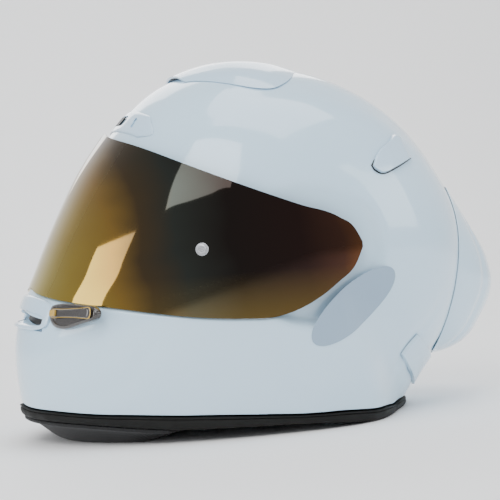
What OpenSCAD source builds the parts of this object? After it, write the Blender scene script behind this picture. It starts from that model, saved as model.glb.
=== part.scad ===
// Full-face motorcycle helmet, standing on its lower edge, facing -Y.
// Origin: middle of the footprint, on the surface the helmet stands on.

/* [Shell] */
// Half width of the outer shell at the visor pivots
half_w = 119; // [114:1:124]
// Wall of the outer shell
wall = 3.2; // [2.6:0.2:4]
// How far the lower shell stands out under and behind the visor
flare = 3.6; // [2:0.2:4.6]
// Height of the visor pivots above the standing surface
pivot_z = 122.5; // [120:0.5:125]

/* [Visor] */
// Half width of the visor across its outer face
visor_half_w = 124.5; // [124:0.5:127]
// Thickness of the visor
visor_t = 2.2; // [1.8:0.2:2.6]
// Radius of the turned boss that the visor pivots on
boss_r = 12; // [10:0.5:13]
// Radial play of the visor hub on its boss
boss_play = 0.05; // [0.03:0.01:0.08]

/* [Liner] */
// Gap between the shell and what lines it
liner_gap = 0.8; // [0.5:0.1:1.2]
// Half width of the head space inside the impact liner
head_half_w = 84; // [80:1:88]
// Half length of the head space
head_half_l = 102; // [98:1:106]
// Top of the head space above the standing surface
head_top = 216; // [208:1:220]
// Thickness of the crown pad
crown_pad_t = 8; // [5:1:10]

/* [Straps] */
// Width of the webbing
web_w = 24; // [20:1:26]
// Thickness of the webbing
web_t = 2.2; // [1.8:0.2:2.6]
// Wire of the D-rings
ring_wire = 3.2; // [2.8:0.2:3.6]

/* [Hidden] */

white = [0.90, 0.93, 0.96];
black = [0.09, 0.09, 0.10];
rubber = [0.14, 0.14, 0.15];
foam = [0.22, 0.22, 0.24];
cloth = [0.30, 0.31, 0.34];
iridium = [0.62, 0.42, 0.12];
steel = [0.72, 0.73, 0.75];
grey_blue = [0.60, 0.66, 0.74];

// Visor pivot axis: parallel to X, at this Y and at pivot_z
pivot_y = 9;

// Mid-plane outline of the shell: angle at the pivot from straight ahead, up positive,
// and the distance from the pivot
OUTLINE = [
    [-36, 218], [-24, 203.5], [-12, 187], [-6, 175], [0, 164], [8, 156], [16, 150],
    [25, 146], [40, 141.5], [60, 141], [75, 137], [95, 131.5], [125, 130], [155, 134.5],
    [180, 142.5], [205, 146], [230, 148], [238, 155], [250, 205], [268, 248], [290, 248],
    [310, 234], [324, 218]
];
// How square the shell is across, at the same angles: 0 is an ellipse
SQUARENESS = [
    [-36, 0], [0, 0], [45, 0.02], [90, 0.03], [135, 0.035], [180, 0.035],
    [205, 0.02], [228, -0.03], [245, -0.02], [270, 0], [324, 0]
];
// Mid-plane outline and squareness of the visor's outer face
VISOR_OUTLINE = [
    [-14, 190], [-8, 182.5], [0, 169.5], [8, 160], [16, 153.5], [25, 149.2], [35, 146.2],
    [45, 145.5], [70, 144.5], [120, 144.5], [240, 170], [300, 240], [346, 190]
];
VISOR_SQUARENESS = [[-14, 0], [0, 0.01], [40, 0.03], [120, 0.03], [300, 0], [346, 0]];

// Edges seen from the middle of the pivot axis: bearing away from straight ahead, and the
// angle above the level. Chin edge and brow edge of the eye port, carried on round the sides
PORT_LOW = [[0, -1.6], [32, -7.3], [51, -10.4], [58, -8.6], [62, -4], [90, -6], [180, -9]];
PORT_TOP = [[0, 35.8], [29, 29.7], [44, 22.9], [55, 15], [62, 9], [90, 14], [180, 22]];
// Where the eye port ends at each side
port_end = 62;
// Lower edge of the shell
RIM = [
    [0, -26.4], [15, -28.5], [29, -32.1], [50, -38.1], [70, -42.6], [82, -44.3], [90, -44.9],
    [101, -45.6], [119, -47.8], [137, -51.2], [160, -51.6], [180, -50.9]
];
// Lower and upper edge of the visor, and where it ends
VISOR_LOW = [
    [0, -4.1], [34.6, -10.5], [41.8, -12.4], [54.3, -15.5], [65.4, -17.5], [77, -18.4],
    [86.8, -15.9], [96.7, -10.2], [103, -4.8], [105.6, 0.2]
];
VISOR_TOP = [
    [0, 39], [37, 31.9], [55.3, 26], [71, 20.2], [86, 14.4], [98.5, 9.5], [103.2, 5.8], [105.6, 1.1]
];
visor_end = 105.4;
// Half width of the air intake in the chin, as a bearing
mouth_end = 13.5;
// Bearings of the shell's columns on one side
BEARINGS = [
    0, 5, 10, mouth_end, 21, 27, 33, 39, 45, 51, 57, port_end, 67, 72, 77, 82, 87, 92, 97, 102, 106,
    110, 116, 124, 132, 140, 148, 156, 164, 172, 180
];
// Standing height of the trim's underside, by bearing
TRIM_LOW = [
    [0, 19.5], [20, 16.5], [45, 9.5], [60, 8], [85, 5.5], [105, 2], [120, 0], [130, 0], [180, 0]
];

// ---- curves ----
function secant(T, i) = (T[i + 1][1] - T[i][1]) / (T[i + 1][0] - T[i][0]);
function tangent(T, i) =
    i == 0 ? secant(T, 0) :
    i == len(T) - 1 ? secant(T, i - 1) :
    let (before = T[i][0] - T[i - 1][0], after = T[i + 1][0] - T[i][0])
    (secant(T, i - 1) * after + secant(T, i) * before) / (before + after);
function span_of(T, x, i = 0) = i + 2 >= len(T) || x <= T[i + 1][0] ? i : span_of(T, x, i + 1);
// Smooth value of the table T at x
function along(T, x) =
    let (
        i = span_of(T, x),
        width = T[i + 1][0] - T[i][0],
        s = (min(max(x, T[0][0]), T[len(T) - 1][0]) - T[i][0]) / width,
        s2 = s * s,
        s3 = s2 * s
    )
    (2 * s3 - 3 * s2 + 1) * T[i][1] + (s3 - 2 * s2 + s) * width * tangent(T, i)
    + (3 * s2 - 2 * s3) * T[i + 1][1] + (s3 - s2) * width * tangent(T, i + 1);
function smooth(x) = let (s = min(max(x, 0), 1)) s * s * (3 - 2 * s);
function ramp(x, from, to) = smooth((x - from) / (to - from));
// An angle brought into the range that the tables cover
function turned(a) = a < -36 ? a + 360 : a > 324 ? a - 360 : a;
// Closed curve through points, n pieces between each pair
function curve_at(p, q, r, s, u) =
    0.5 * (2 * q + (r - p) * u + (2 * p - 5 * q + 4 * r - s) * u * u
    + (3 * q - p - 3 * r + s) * u * u * u);
function rounded(C, n = 2) =
    let (m = len(C))
    [for (i = [0:m - 2]) for (k = [0:n - 1])
        curve_at(C[max(i - 1, 0)], C[i], C[i + 1], C[min(i + 2, m - 1)], k / n),
     C[m - 1]];

// ---- helmet surface ----
// A point: a is the angle at the pivot, t the angle across from the mid-plane (90 at +X)
function ball_point(a, t, r0, w, k) =
    let (g = 1 + k * pow(sin(2 * t), 2), r = r0 * cos(t) * g)
    [w * sin(t) * g, pivot_y - r * cos(a), pivot_z + r * sin(a)];
function base_point(a, t, off = 0) =
    ball_point(a, t, along(OUTLINE, turned(a)) + off, half_w + off, along(SQUARENESS, turned(a)));
// Share of the flare at a point: whole under the chin, at the sides behind the visor,
// nothing over the crown or in the middle of the back
function flare_at(a, t) =
    let (b = turned(a), back = ramp(b, 120, 165), under = max(ramp(b, 215, 260), 1 - ramp(b, -2, 12)))
    max(under, back * ramp(abs(t), 25, 65));
function skin_point(a, t, off = 0) = base_point(a, t, off + flare * flare_at(a, t));
function visor_point(a, t, off = 0) =
    let (b = a < -14 ? a + 360 : a)
    ball_point(a, t, along(VISOR_OUTLINE, b) + off, visor_half_w + off, along(VISOR_SQUARENESS, b));

// Angles of a side-view point (y, z) on the surface at an offset
function lean(y, z) = atan2(z - pivot_z, pivot_y - y);
function across(y, z, off) =
    let (
        a = turned(lean(y, z)),
        share = norm([y - pivot_y, z - pivot_z]) / (along(OUTLINE, a) + off),
        k = along(SQUARENESS, a),
        first = acos(min(1, share)),
        second = acos(min(1, share / (1 + k * pow(sin(2 * first), 2))))
    )
    acos(min(1, share / (1 + k * pow(sin(2 * second), 2))));
function side_point(y, z, off = 0) =
    let (
        a = lean(y, z),
        t0 = across(y, z, off),
        lift = off + flare * flare_at(a, t0),
        t = across(y, z, lift),
        k = along(SQUARENESS, turned(a))
    )
    [(half_w + lift) * sin(t) * (1 + k * pow(sin(2 * t), 2)), y, z];

// Direction with a bearing and a rise, and the surface points that lie that way
function dir_of(b, e) = [sin(b) * cos(e), -cos(b) * cos(e), sin(e)];
function turn_of(d) = atan2(d[2], -d[1]);
function t_of(d, r, w) = atan2(d[0] / w, norm([d[1], d[2]]) / r);
function plain_at(b, e, off = 0) =
    let (d = dir_of(b, e), a = turn_of(d), r = along(OUTLINE, turned(a)) + off)
    base_point(a, t_of(d, r, half_w + off), off);
function skin_at(b, e, off = 0, share = 1) =
    let (d = dir_of(b, e), a = turn_of(d), r = along(OUTLINE, turned(a)),
        lift = off + share * flare * flare_at(a, t_of(d, r, half_w)))
    base_point(a, t_of(d, r + lift, half_w + lift), lift);
function visor_at(b, e, off = 0) =
    let (d = dir_of(b, e), a = turn_of(d), r = along(VISOR_OUTLINE, a < -14 ? a + 360 : a) + off)
    visor_point(a, t_of(d, r, visor_half_w + off), off);
// Share of the flare left at a bearing and rise: none under the visor
function bare(b, e) =
    max(ramp(along(VISOR_LOW, abs(b)) - e, 0, 0.8), ramp(abs(b), 106, 110),
        ramp(e - along(VISOR_TOP, abs(b)), 1, 8));
// A point brought in to the flat seat of the visor's pivot, x from the mid-plane
function seated(p, x) =
    let (far = norm([p[1] - pivot_y, p[2] - pivot_z]), k = ramp(far, 45, 54))
    [sign(p[0]) * (min(abs(p[0]), x) * (1 - k) + abs(p[0]) * k), p[1], p[2]];

// A cylinder along X on the visor pivot, from x0 to x1 on the side that s names
module pivot_disc(s, r, x0, x1) {
    translate([s * x0, pivot_y, pivot_z]) rotate([0, s * 90, 0]) cylinder(r = r, h = x1 - x0);
}

// Closed band: rings of points, each ring a closed loop of the same length
module band_of(rings) {
    n = len(rings);
    m = len(rings[0]);
    flat = [for (r = rings) each r];
    polyhedron(flat, [for (i = [0:n - 1]) for (j = [0:m - 1])
        let (k = (j + 1) % m, p = (i + 1) % n * m)
        each [[i * m + j, p + k, i * m + k], [i * m + j, p + j, p + k]]], convexity = 6);
}
// Skin between an outer and an inner net: rows go up, columns go round. A ring closes on itself,
// a crown closes the top in one point, and kept(i, j) is false where there is a window
module skin(outer, inner, ring = false, crown = false, kept = function(i, j) true) {
    rows = len(outer);
    cols = len(outer[0]);
    last = ring ? cols - 1 : cols - 2;
    cells = crown ? rows - 3 : rows - 2;
    n = (crown ? rows - 1 : rows) * cols;
    outer_flat = [for (i = [0:cells + 1]) each outer[i]];
    inner_flat = [for (i = [0:cells + 1]) each inner[i]];
    function id(i, j) = i * cols + j % cols;
    function is_open(i, j) =
        i < 0 || (!ring && (j < 0 || j > last)) || (i > cells ? !crown : !kept(i, (j + cols) % cols));
    function pair(a, b, c, d) = [[a, b, c], [a, c, d]];
    function wall_of(p, q) = pair(q, p, p + n, q + n);
    faces = [for (i = [0:cells]) for (j = [0:last]) if (!is_open(i, j))
        let (a = id(i, j), b = id(i + 1, j), c = id(i + 1, j + 1), d = id(i, j + 1))
        each concat(
            pair(a, b, c, d), pair(n + a, n + d, n + c, n + b),
            is_open(i, j - 1) ? wall_of(a, b) : [], is_open(i + 1, j) ? wall_of(b, c) : [],
            is_open(i, j + 1) ? wall_of(c, d) : [], is_open(i - 1, j) ? wall_of(d, a) : []
        )];
    top = 2 * n;
    cap = crown ? [for (j = [0:last]) let (a = id(cells + 1, j), b = id(cells + 1, j + 1))
        each [[a, top, b], [n + b, top + 1, n + a]]] : [];
    tips = crown ? [outer[rows - 1][0], inner[rows - 1][0]] : [];
    polyhedron(concat(outer_flat, inner_flat, tips), concat(faces, cap), convexity = 8);
}
// Net of points: low and high edges as tables of bearing and rise, spot(b, e) gives the point
function fan(low, high, bearings, rows, spot) =
    [for (i = [0:rows]) [for (b = bearings)
        let (e0 = along(low, abs(b)), e1 = along(high, abs(b))) spot(b, e0 + (e1 - e0) * i / rows)]];
function steps(from, to, n) = [for (k = [0:n]) from + (to - from) * k / n];
// Bearings all the way round
ROUND = concat([for (b = BEARINGS) b], [for (k = [len(BEARINGS) - 2:-1:1]) -BEARINGS[k]]);

// Net over the surface: A and T give the two angles, H the height over the skin, at u and v
function net(A, T, H, rows, cols) =
    [for (i = [0:rows]) [for (j = [0:cols])
        let (u = i / rows, v = 2 * j / cols - 1)
        skin_point(along(A, u), v * along(T, u), H(u, v))]];

// Panel draped on one side: corners in side view, laid out as two rows
module side_panel(s, lower, upper, under, top, edge = 0.4) {
    n = len(lower) - 1;
    rows = 4;
    function spot(i, v) = lower[i] * (1 - v) + upper[i] * v;
    function crown_at(i, v) =
        edge + (top - edge) * min(1, 4 * sin(180 * v)) * min(1, 4 * sin(180 * i / n));
    mirror([s < 0 ? 1 : 0, 0, 0]) skin(
        [for (k = [0:rows]) [for (i = [0:n])
            let (q = spot(i, k / rows)) side_point(q[0], q[1], under + crown_at(i, k / rows))]],
        [for (k = [0:rows]) [for (i = [0:n])
            let (q = spot(i, k / rows)) side_point(q[0], q[1], under)]]
    );
}

// ---- outer shell and its edges ----
// Flat seats of the visor pivots, with the plate and the screws on each
pocket_x = 113.2;
plate_r = 27;
screw_out = 22;
seat_wall = 2.8;
// Rises of the shell's rows at a bearing, from the rim to the crown
CHIN_ROWS = [0, 0.3, 0.56, 0.715, 0.832, 0.93];
mouth_row = 3;
port_row = len(CHIN_ROWS) + 2;
side_rows = 4;
crown_rows = 11;
function rises(b) =
    let (rim = along(RIM, abs(b)), edge = along(VISOR_LOW, abs(b)), low = along(PORT_LOW, abs(b)),
        high = along(PORT_TOP, abs(b)), step = min(edge, low - 2.2))
    concat([for (f = CHIN_ROWS) rim + f * (step - 0.9 - rim)],
        [step - 0.9, step + 0.1],
        [for (k = [0:side_rows - 1]) low + (high - low) * k / side_rows],
        [for (k = [0:crown_rows]) high + (90 - high) * k / crown_rows]);
function shell_net(spot) =
    let (table = [for (b = ROUND) rises(b)])
    [for (i = [0:len(table[0]) - 1]) [for (j = [0:len(ROUND) - 1]) spot(ROUND[j], table[j][i])]];
module shell() {
    shut = function(i, j)
        let (side = ROUND[j] >= 0 ? abs(ROUND[j]) : abs(ROUND[j]) - 1)
        !(i == mouth_row && side < mouth_end)
        && !(i >= port_row && i < port_row + side_rows && side < port_end);
    color(white) skin(
        shell_net(function(b, e) seated(skin_at(b, e, 0, bare(b, e)), pocket_x)),
        shell_net(function(b, e) seated(plain_at(b, e, -wall), pocket_x - seat_wall)),
        ring = true, crown = true, kept = shut);
}
function unit(v) = v / norm(v);
module eyeport_seal() {
    half = [0, 6, 12, 18, 24, 30, 36, 42, 48, 53, 57, 60];
    n = len(half) - 1;
    path = concat(
        [for (k = [n:-1:1]) [-half[k], along(PORT_LOW, half[k])]],
        [for (k = [0:n]) [half[k], along(PORT_LOW, half[k])]],
        [for (f = [0, 0.3, 0.7, 1]) [port_end, -4 + 13 * f]],
        [for (k = [n:-1:0]) [half[k], along(PORT_TOP, half[k])]],
        [for (k = [1:n]) [-half[k], along(PORT_TOP, half[k])]],
        [for (f = [1, 0.7, 0.3, 0]) [-port_end, -4 + 13 * f]]
    );
    m = len(path);
    function spot(k) = let (q = path[(k + m) % m]) plain_at(q[0], q[1]);
    color(rubber) band_of([for (k = [0:m - 1])
        let (p = spot(k), run = unit(spot(k + 1) - spot(k - 1)), out = unit(p - [0, pivot_y + 10, pivot_z]),
            in = unit(cross(out, run)), up = unit(cross(run, in)))
        [p + 0.5 * in - 5 * up, p + 3.4 * in - 5 * up, p + 3.4 * in + 0.9 * up, p + 0.5 * in + 0.9 * up]]);
}
module lower_trim() {
    color(rubber) band_of([for (b = ROUND)
        let (e = along(RIM, abs(b)), low = max(0, along(TRIM_LOW, abs(b))),
            p = skin_at(b, e, 0.7), q = plain_at(b, e, -6), foot = skin_at(b, e, -1.2))
        [[foot[0], foot[1], low], [q[0], q[1], low], [q[0], q[1], p[2] - 1], [p[0], p[1], p[2] - 1.4]]]);
}

// ---- inside ----
// Head space seen from the middle of the pivot axis, brought in by an inset
function head_at(b, e, inset = 0) =
    let (d = dir_of(b, e), up = max(d[2], 0) / (head_top - pivot_z - inset))
    [0, pivot_y, pivot_z]
    + d / norm([d[0] / (head_half_w - inset), d[1] / (head_half_l - inset), up]);
// Oval column of the face and neck, half width w and half length l
function column_at(b, e, w, l) =
    let (d = dir_of(b, e)) [0, pivot_y, pivot_z] + d / norm([d[0] / w, d[1] / l]);
LINER_LOW = [
    [0, 40], [45, 31], [62, 17], [75, 6], [90, -5], [110, -9], [117, -17], [124, -25], [131, -28],
    [180, -29]
];
CROWN = [[0, 90], [180, 90]];
module impact_liner() {
    round = [for (b = [0:7.5:352.5]) b > 180 ? b - 360 : b];
    color(foam) skin(
        fan(LINER_LOW, CROWN, round, 13, function(b, e)
            seated(plain_at(b, e, -wall - liner_gap), pocket_x - seat_wall - liner_gap)),
        fan(LINER_LOW, CROWN, round, 13, function(b, e) head_at(b, e)),
        ring = true, crown = true);
}
module crown_pad() {
    round = [for (b = [0:12:348]) b > 180 ? b - 360 : b];
    low = [[0, 44], [90, 36], [180, 34]];
    color(cloth) skin(
        fan(low, CROWN, round, 8, function(b, e) head_at(b, e, 0.8)),
        fan(low, CROWN, round, 8, function(b, e) head_at(b, e, 0.8 + crown_pad_t)),
        ring = true, crown = true);
}
module chin_liner() {
    low = [[0, -24], [29, -29], [48, -34]];
    high = [[0, -5.5], [32, -12], [48, -15]];
    // set back behind the air intake
    function front_off(b) = -wall - 1.5 - 10.5 * (1 - ramp(abs(b), 18, 23));
    bearings = [-48, -42, -36, -30, -25, -20, -16, -8, 0, 8, 16, 20, 25, 30, 36, 42, 48];
    color(foam) skin(
        fan(low, high, bearings, 5, function(b, e) plain_at(b, e, front_off(b))),
        fan(low, high, bearings, 5, function(b, e) plain_at(b, e, -wall - 22)));
}
module breath_guard() {
    low = [[0, -9], [36, -15]];
    high = [[0, 2], [36, -7]];
    color(rubber) skin(
        fan(low, high, steps(-36, 36, 14), 3, function(b, e) plain_at(b, e, -wall - 24.5)),
        fan(low, high, steps(-36, 36, 14), 3, function(b, e) plain_at(b, e, -wall - 26.5)));
}
module cheek_pad(s) {
    low = [[49, -33], [60, -39], [90, -40], [106, -38]];
    high = [[49, -16.5], [60, -12], [90, -10], [106, -12]];
    color(cloth) mirror([s < 0 ? 1 : 0, 0, 0]) skin(
        fan(low, high, steps(49, 106, 10), 7, function(b, e) plain_at(b, e, -18)),
        fan(low, high, steps(49, 106, 10), 7, function(b, e) column_at(b, e, 60, 112)));
}
module neck_roll() {
    low = [[0, -49], [58, -46]];
    high = [[0, -35], [58, -35]];
    color(cloth) skin(
        fan(low, high, steps(-58, 58, 14), 5, function(b, e) plain_at(180 + b, e, -5.5)),
        fan(low, high, steps(-58, 58, 14), 5, function(b, e) column_at(180 + b, e, 72, 76)));
}
// Fabric skirt under the chin, from the trim down and in
module chin_curtain() {
    bearings = steps(-42, 42, 16);
    function spot(b, f, z) =
        let (p = skin_at(b, along(RIM, abs(b)), -1.6)) [p[0] * f, pivot_y + (p[1] - pivot_y) * f, z];
    // slopes down from the trim and lies flat further in
    function low_z(b, f) =
        (along(TRIM_LOW, abs(b)) - 3) * (1 - (1 - ramp(abs(b), 28, 42)) * ramp(1 - f, 0, 0.15));
    reach = [1, 0.96, 0.92, 0.88, 0.85, 0.76];
    color(black) skin(
        [for (f = reach) [for (b = bearings) spot(b, f, low_z(b, f))]],
        [for (f = reach) [for (b = bearings) spot(b, f, low_z(b, f) + 2.4)]]);
}

// ---- visor, its pivots and what it carries ----
LENS_LOW = [[0, 2], [30, -3], [45, -4.5], [52, -1.5], [56, 4.8]];
LENS_TOP = [[0, 31], [30, 25], [45, 18], [52, 12], [56, 6.6]];
VISOR_BEARINGS = [
    0, 6, 12, 18, 24, 30, 36, 42, 48, 54, 60, 66, 72, 78, 84, 90, 95, 99, 102, 104, visor_end
];
function both_sides(T) = concat([for (k = [len(T) - 1:-1:1]) -T[k]], T);
post_b = 56;
post_e = 2.9;
post_at = visor_at(post_b, post_e);
post_dir = unit(cross(visor_at(post_b + 1, post_e) - visor_at(post_b - 1, post_e),
    visor_at(post_b, post_e + 1) - visor_at(post_b, post_e - 1)));
module along_dir(p, n) {
    translate(p) rotate([0, acos(n[2]), atan2(n[1], n[0])]) children();
}
module visor() {
    bearings = both_sides(VISOR_BEARINGS);
    color(iridium) skin(
        fan(VISOR_LOW, VISOR_TOP, bearings, 10, function(b, e) visor_at(b, e)),
        fan(VISOR_LOW, VISOR_TOP, bearings, 10, function(b, e) visor_at(b, e, -visor_t)));
}
module antifog_lens() {
    bearings = both_sides([0, 7, 14, 21, 28, 34, 40, 45, 49, 52, 54.5, 56]);
    color([0.75, 0.78, 0.8, 0.5]) skin(
        fan(LENS_LOW, LENS_TOP, bearings, 7, function(b, e) visor_at(b, e, -visor_t - 0.4)),
        fan(LENS_LOW, LENS_TOP, bearings, 7, function(b, e) visor_at(b, e, -visor_t - 1.4)));
}
module tear_off_post(s) {
    color(steel) mirror([s < 0 ? 1 : 0, 0, 0]) along_dir(post_at, post_dir) {
        translate([0, 0, 0.15]) cylinder(r = 4.4, h = 1.2);
        translate([0, 0, 1.2]) cylinder(r = 2.6, h = 2);
    }
}
hub_x0 = 116.9;
hub_x1 = 121;
module visor_hub(s) {
    color(black) difference() {
        pivot_disc(s, 17, hub_x0, hub_x1);
        pivot_disc(s, boss_r + boss_play, hub_x0 - 1, hub_x1 + 1);
    }
}
module base_plate(s) {
    color(black) difference() {
        union() {
            pivot_disc(s, plate_r, pocket_x + 0.2, 116.4);
            pivot_disc(s, boss_r, 116, 120.4);
        }
        for (k = [-1, 1]) translate([0, k * screw_out, 0]) pivot_disc(s, 2.2, 110, 130);
    }
}
module plate_screws(s) {
    color(steel) for (k = [-1, 1]) translate([0, k * screw_out, 0]) {
        pivot_disc(s, 2, pocket_x + 0.2, 117);
        pivot_disc(s, 3.2, 116.5, 118);
    }
}

// ---- visor lock: a pod below the visor's left corner and a swing latch on it ----
lock_a = -11.8;
lock_t = 34;
lock_at = skin_point(lock_a, lock_t);
lock_turn = atan2(lock_at[1] + 30, lock_at[0]);
// Lean of the pod, and how far its back stands off the shell
lock_lean = 12;
lock_off = 2.8;
module at_lock() { translate(lock_at) rotate([0, -lock_lean, lock_turn]) children(); }
// Pod outline in its own plane: y along the shell towards the back, z up
POD = [
    [-24, 4], [-21, 7], [-10, 8], [12, 6.6], [21, 5.4], [25, 1.5], [22, -3], [8, -6.5], [-7, -9.5],
    [-18, -8], [-23.5, -3]
];
module lock_housing() {
    color(black) at_lock() translate([lock_off, 0, 0]) rotate([90, 0, 90]) linear_extrude(4.2)
        polygon(rounded(concat(POD, [POD[0]]), 3));
}
// Back of the latch, clear of the pod
lever_x = lock_off + 4.6;
module lock_lever() {
    color(iridium) at_lock() {
        translate([lever_x, 18, 1]) rotate([0, 90, 0]) cylinder(r = 3.4, h = 2.2);
        translate([lever_x, -18, -1.6]) cube([2.2, 34, 5.2]);
        translate([lever_x + 2.1, -18, -1]) cube([1.6, 5, 4]);
    }
}

// ---- vents ----
// Loop round the air intake: half width as a bearing, half height as a rise
function frame_loop(width, height, mid, off) = [for (k = [0:39])
    let (c = cos(9 * k), v = sin(9 * k),
        x = sign(c) * pow(abs(c), 0.45) * (1 + 0.1 * v), z = sign(v) * pow(abs(v), 0.5))
    skin_at(width * x, mid + height * z - 0.0062 * pow(width * x, 2), off)];
module chin_vent_frame() {
    low_out = frame_loop(15.9, 3.1, -8.9, 1.1);
    high_out = frame_loop(15.5, 2.9, -8.9, 2.7);
    high_in = frame_loop(13.8, 1.35, -9.95, 2.7);
    low_in = frame_loop(13.6, 1.25, -9.95, 1.1);
    color(white) band_of([for (k = [0:39]) [low_out[k], high_out[k], high_in[k], low_in[k]]]);
}
MOUTH_LOW = [[0, -12], [15.6, -13.9]];
MOUTH_TOP = [[0, -7.8], [15.6, -9]];
module chin_vent_shutter() {
    color(black) skin(
        fan(MOUTH_LOW, MOUTH_TOP, steps(-15.6, 15.6, 8), 2, function(b, e) plain_at(b, e, -wall - 0.9)),
        fan(MOUTH_LOW, MOUTH_TOP, steps(-15.6, 15.6, 8), 2, function(b, e) plain_at(b, e, -wall - 2.7)));
}
module chin_vent_mesh() {
    color(black) skin(
        fan(MOUTH_LOW, MOUTH_TOP, steps(-15.6, 15.6, 26), 4, function(b, e) plain_at(b, e, -wall - 9)),
        fan(MOUTH_LOW, MOUTH_TOP, steps(-15.6, 15.6, 26), 4, function(b, e) plain_at(b, e, -wall - 10.2)),
        kept = function(i, j) !(i > 0 && i < 3 && j % 2 == 1));
}
brow_a = 44.6;
BROW_A = [[0, 40.8], [1, 48.6]];
BROW_T = [[0, 23], [0.3, 28], [1, 21]];
brow_cols = 16;
module brow_vent_cover() {
    // a slot in the middle for the slider and an air hole on each side of it
    kept = function(i, j)
        !(i > 0 && i < 3 && (j == 3 || j == brow_cols - 4 || abs(j + 0.5 - brow_cols / 2) < 2));
    color(white) skin(
        net(BROW_A, BROW_T, function(u, v) 1.1 - 0.4 * pow(abs(v), 8), 4, brow_cols),
        net(BROW_A, BROW_T, function(u, v) 0.3, 4, brow_cols), kept = kept);
}
// A block on the brow, across the mid-plane, from height h0 to h1 over the shell
module slider_block(half_x, half_s, h0, h1) {
    p = base_point(brow_a, 0);
    translate(p) rotate([90 - brow_a, 0, 0]) translate([-half_x, -half_s, h0])
        cube([2 * half_x, 2 * half_s, h1 - h0]);
}
module brow_vent_slider() {
    color(black) slider_block(5.5, 4, 0.35, 1.2);
}
TOP_A = [[0, 64.5], [1, 101]];
TOP_T = [[0, 15], [0.22, 27], [0.45, 34], [0.7, 33], [0.9, 23], [1, 12]];
TOP_RISE = [[0, 3.4], [0.18, 4.2], [0.38, 4.7], [0.6, 4.1], [0.85, 2.2], [1, 0.7]];
function top_high(u, v) = 0.6 + (along(TOP_RISE, u) - 0.6) * (1 - pow(abs(v), 3.5));
function top_low(u, v) =
    0.3 + (top_high(u, v) - 1.8) * (1 - ramp(u, 0.5, 0.75)) * (1 - ramp(abs(v), 0.55, 0.8))
    * (top_high(u, v) > 2.1 ? 1 : 0);
module top_vent_cover() {
    color(white) skin(net(TOP_A, TOP_T, function(u, v) top_high(u, v), 11, 16),
        net(TOP_A, TOP_T, function(u, v) top_low(u, v), 11, 16));
}
// Where the slider sits under the top vent, and the slope of the shell there
top_slot_a = 67.5;
top_slope = 18.5;
module top_vent_slider() {
    p = base_point(top_slot_a, 0);
    color(black) translate(p) rotate([top_slope, 0, 0]) translate([-8, -3, 0.3])
        cube([16, 6, 0.8]);
}
module rear_vent(s) {
    color(white) side_panel(s,
        [[60, 176], [62, 173], [68, 170.5], [80, 174], [97, 180]],
        [[64, 182], [71, 188], [79, 192], [86, 197], [92, 196]], 0.8, 2.2);
}

// ---- back of the shell ----
SPOILER_A = [[0, 165], [1, 217.5]];
SPOILER_T = [[0, 22], [0.3, 31], [0.6, 34], [0.85, 29], [1, 18]];
SPOILER_RISE = [
    [0, 0.8], [0.25, 12], [0.42, 24], [0.54, 29.5], [0.72, 25], [0.87, 18], [0.95, 9], [1, 1.4]
];
function spoiler_high(u, v) = 0.8 + (along(SPOILER_RISE, u) - 0.8) * (1 - pow(abs(v), 1.8));
module rear_spoiler() {
    color(white) skin(
        net(SPOILER_A, SPOILER_T, function(u, v) spoiler_high(u, v), 14, 14),
        net(SPOILER_A, SPOILER_T, function(u, v) max(0.4, 0.4 + 0.8 * (spoiler_high(u, v) - 3.5)), 14, 14));
}
module rear_panel(s) {
    color(white) skin(
        [for (a = [219:2:229]) [for (k = [0:8])
            skin_point(a, s * (14 + 29 * k / 8), 1.4 + 1.1 * min(1, 5 * sin(180 * k / 8)))]],
        [for (a = [219:2:229]) [for (k = [0:8]) skin_point(a, s * (14 + 29 * k / 8), 1.3)]]);
}
decal_half = [38, 14.5];
decal_spin = 35;
decal_at = [34.5, 82.5];
module side_decal(s) {
    rows = [for (k = [-6:6]) k / 6];
    function spot(x, y) =
        decal_at + [x * cos(decal_spin) - y * sin(decal_spin), x * sin(decal_spin) + y * cos(decal_spin)];
    function strip(h) = [for (x = rows) [for (k = [-3:3])
        let (half = max(0.6, decal_half[1] * sqrt(1 - 0.995 * x * x)),
            q = spot(x * decal_half[0], k / 3 * half))
        side_point(q[0], q[1], h)]];
    color(grey_blue) mirror([s < 0 ? 1 : 0, 0, 0]) skin(strip(0.85), strip(0.5));
}

// ---- chin strap, lying open below the helmet ----
// Side-on run of a strap: down inside the shell and in over the floor
module strap_run(s, end) {
    path = [[103, 60], [103, 24], [100, 12], [92, 5], [80, 3.3], [end, 3.3]];
    n = len(path);
    function side_of(i) =
        let (d = unit(path[min(i + 1, n - 1)] - path[max(i - 1, 0)])) [d[1], -d[0]] * web_t / 2;
    mirror([s < 0 ? 1 : 0, 0, 0]) translate([0, web_w / 2, 0]) rotate([90, 0, 0]) linear_extrude(web_w)
        polygon(concat([for (i = [0:n - 1]) path[i] + side_of(i)],
            [for (i = [n - 1:-1:0]) path[i] - side_of(i)]));
}
module strap_left() { color(black) strap_run(1, 38); }
module strap_right() { color(black) strap_run(-1, -6); }
module strap_rivet(s) {
    color(steel) {
        translate([s * 99.6, 0, 50]) rotate([0, s * 90, 0]) cylinder(r = 7, h = 2);
        translate([s * 104.4, 0, 50]) rotate([0, s * 90, 0]) cylinder(r = 6, h = 5.6);
    }
}
ring_x = 34;
ring_low = 3.3;
ring_high = 8.4;
ring_play = 0.06;
module bar_hole(z, r) {
    translate([ring_x, web_w, z]) rotate([90, 0, 0]) cylinder(r = r, h = 2 * web_w);
}
module ring_keeper() {
    color(black) difference() {
        union() {
            for (z = [ring_low, ring_high])
                translate([ring_x, 9, z]) rotate([90, 0, 0]) cylinder(r = 2.9, h = 18);
            translate([ring_x, -9, ring_low - 1.1]) cube([3.9, 18, 8]);
        }
        bar_hole(ring_low, ring_wire / 2 + ring_play);
        bar_hole(ring_high, ring_wire / 2 + ring_play);
    }
}
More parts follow.
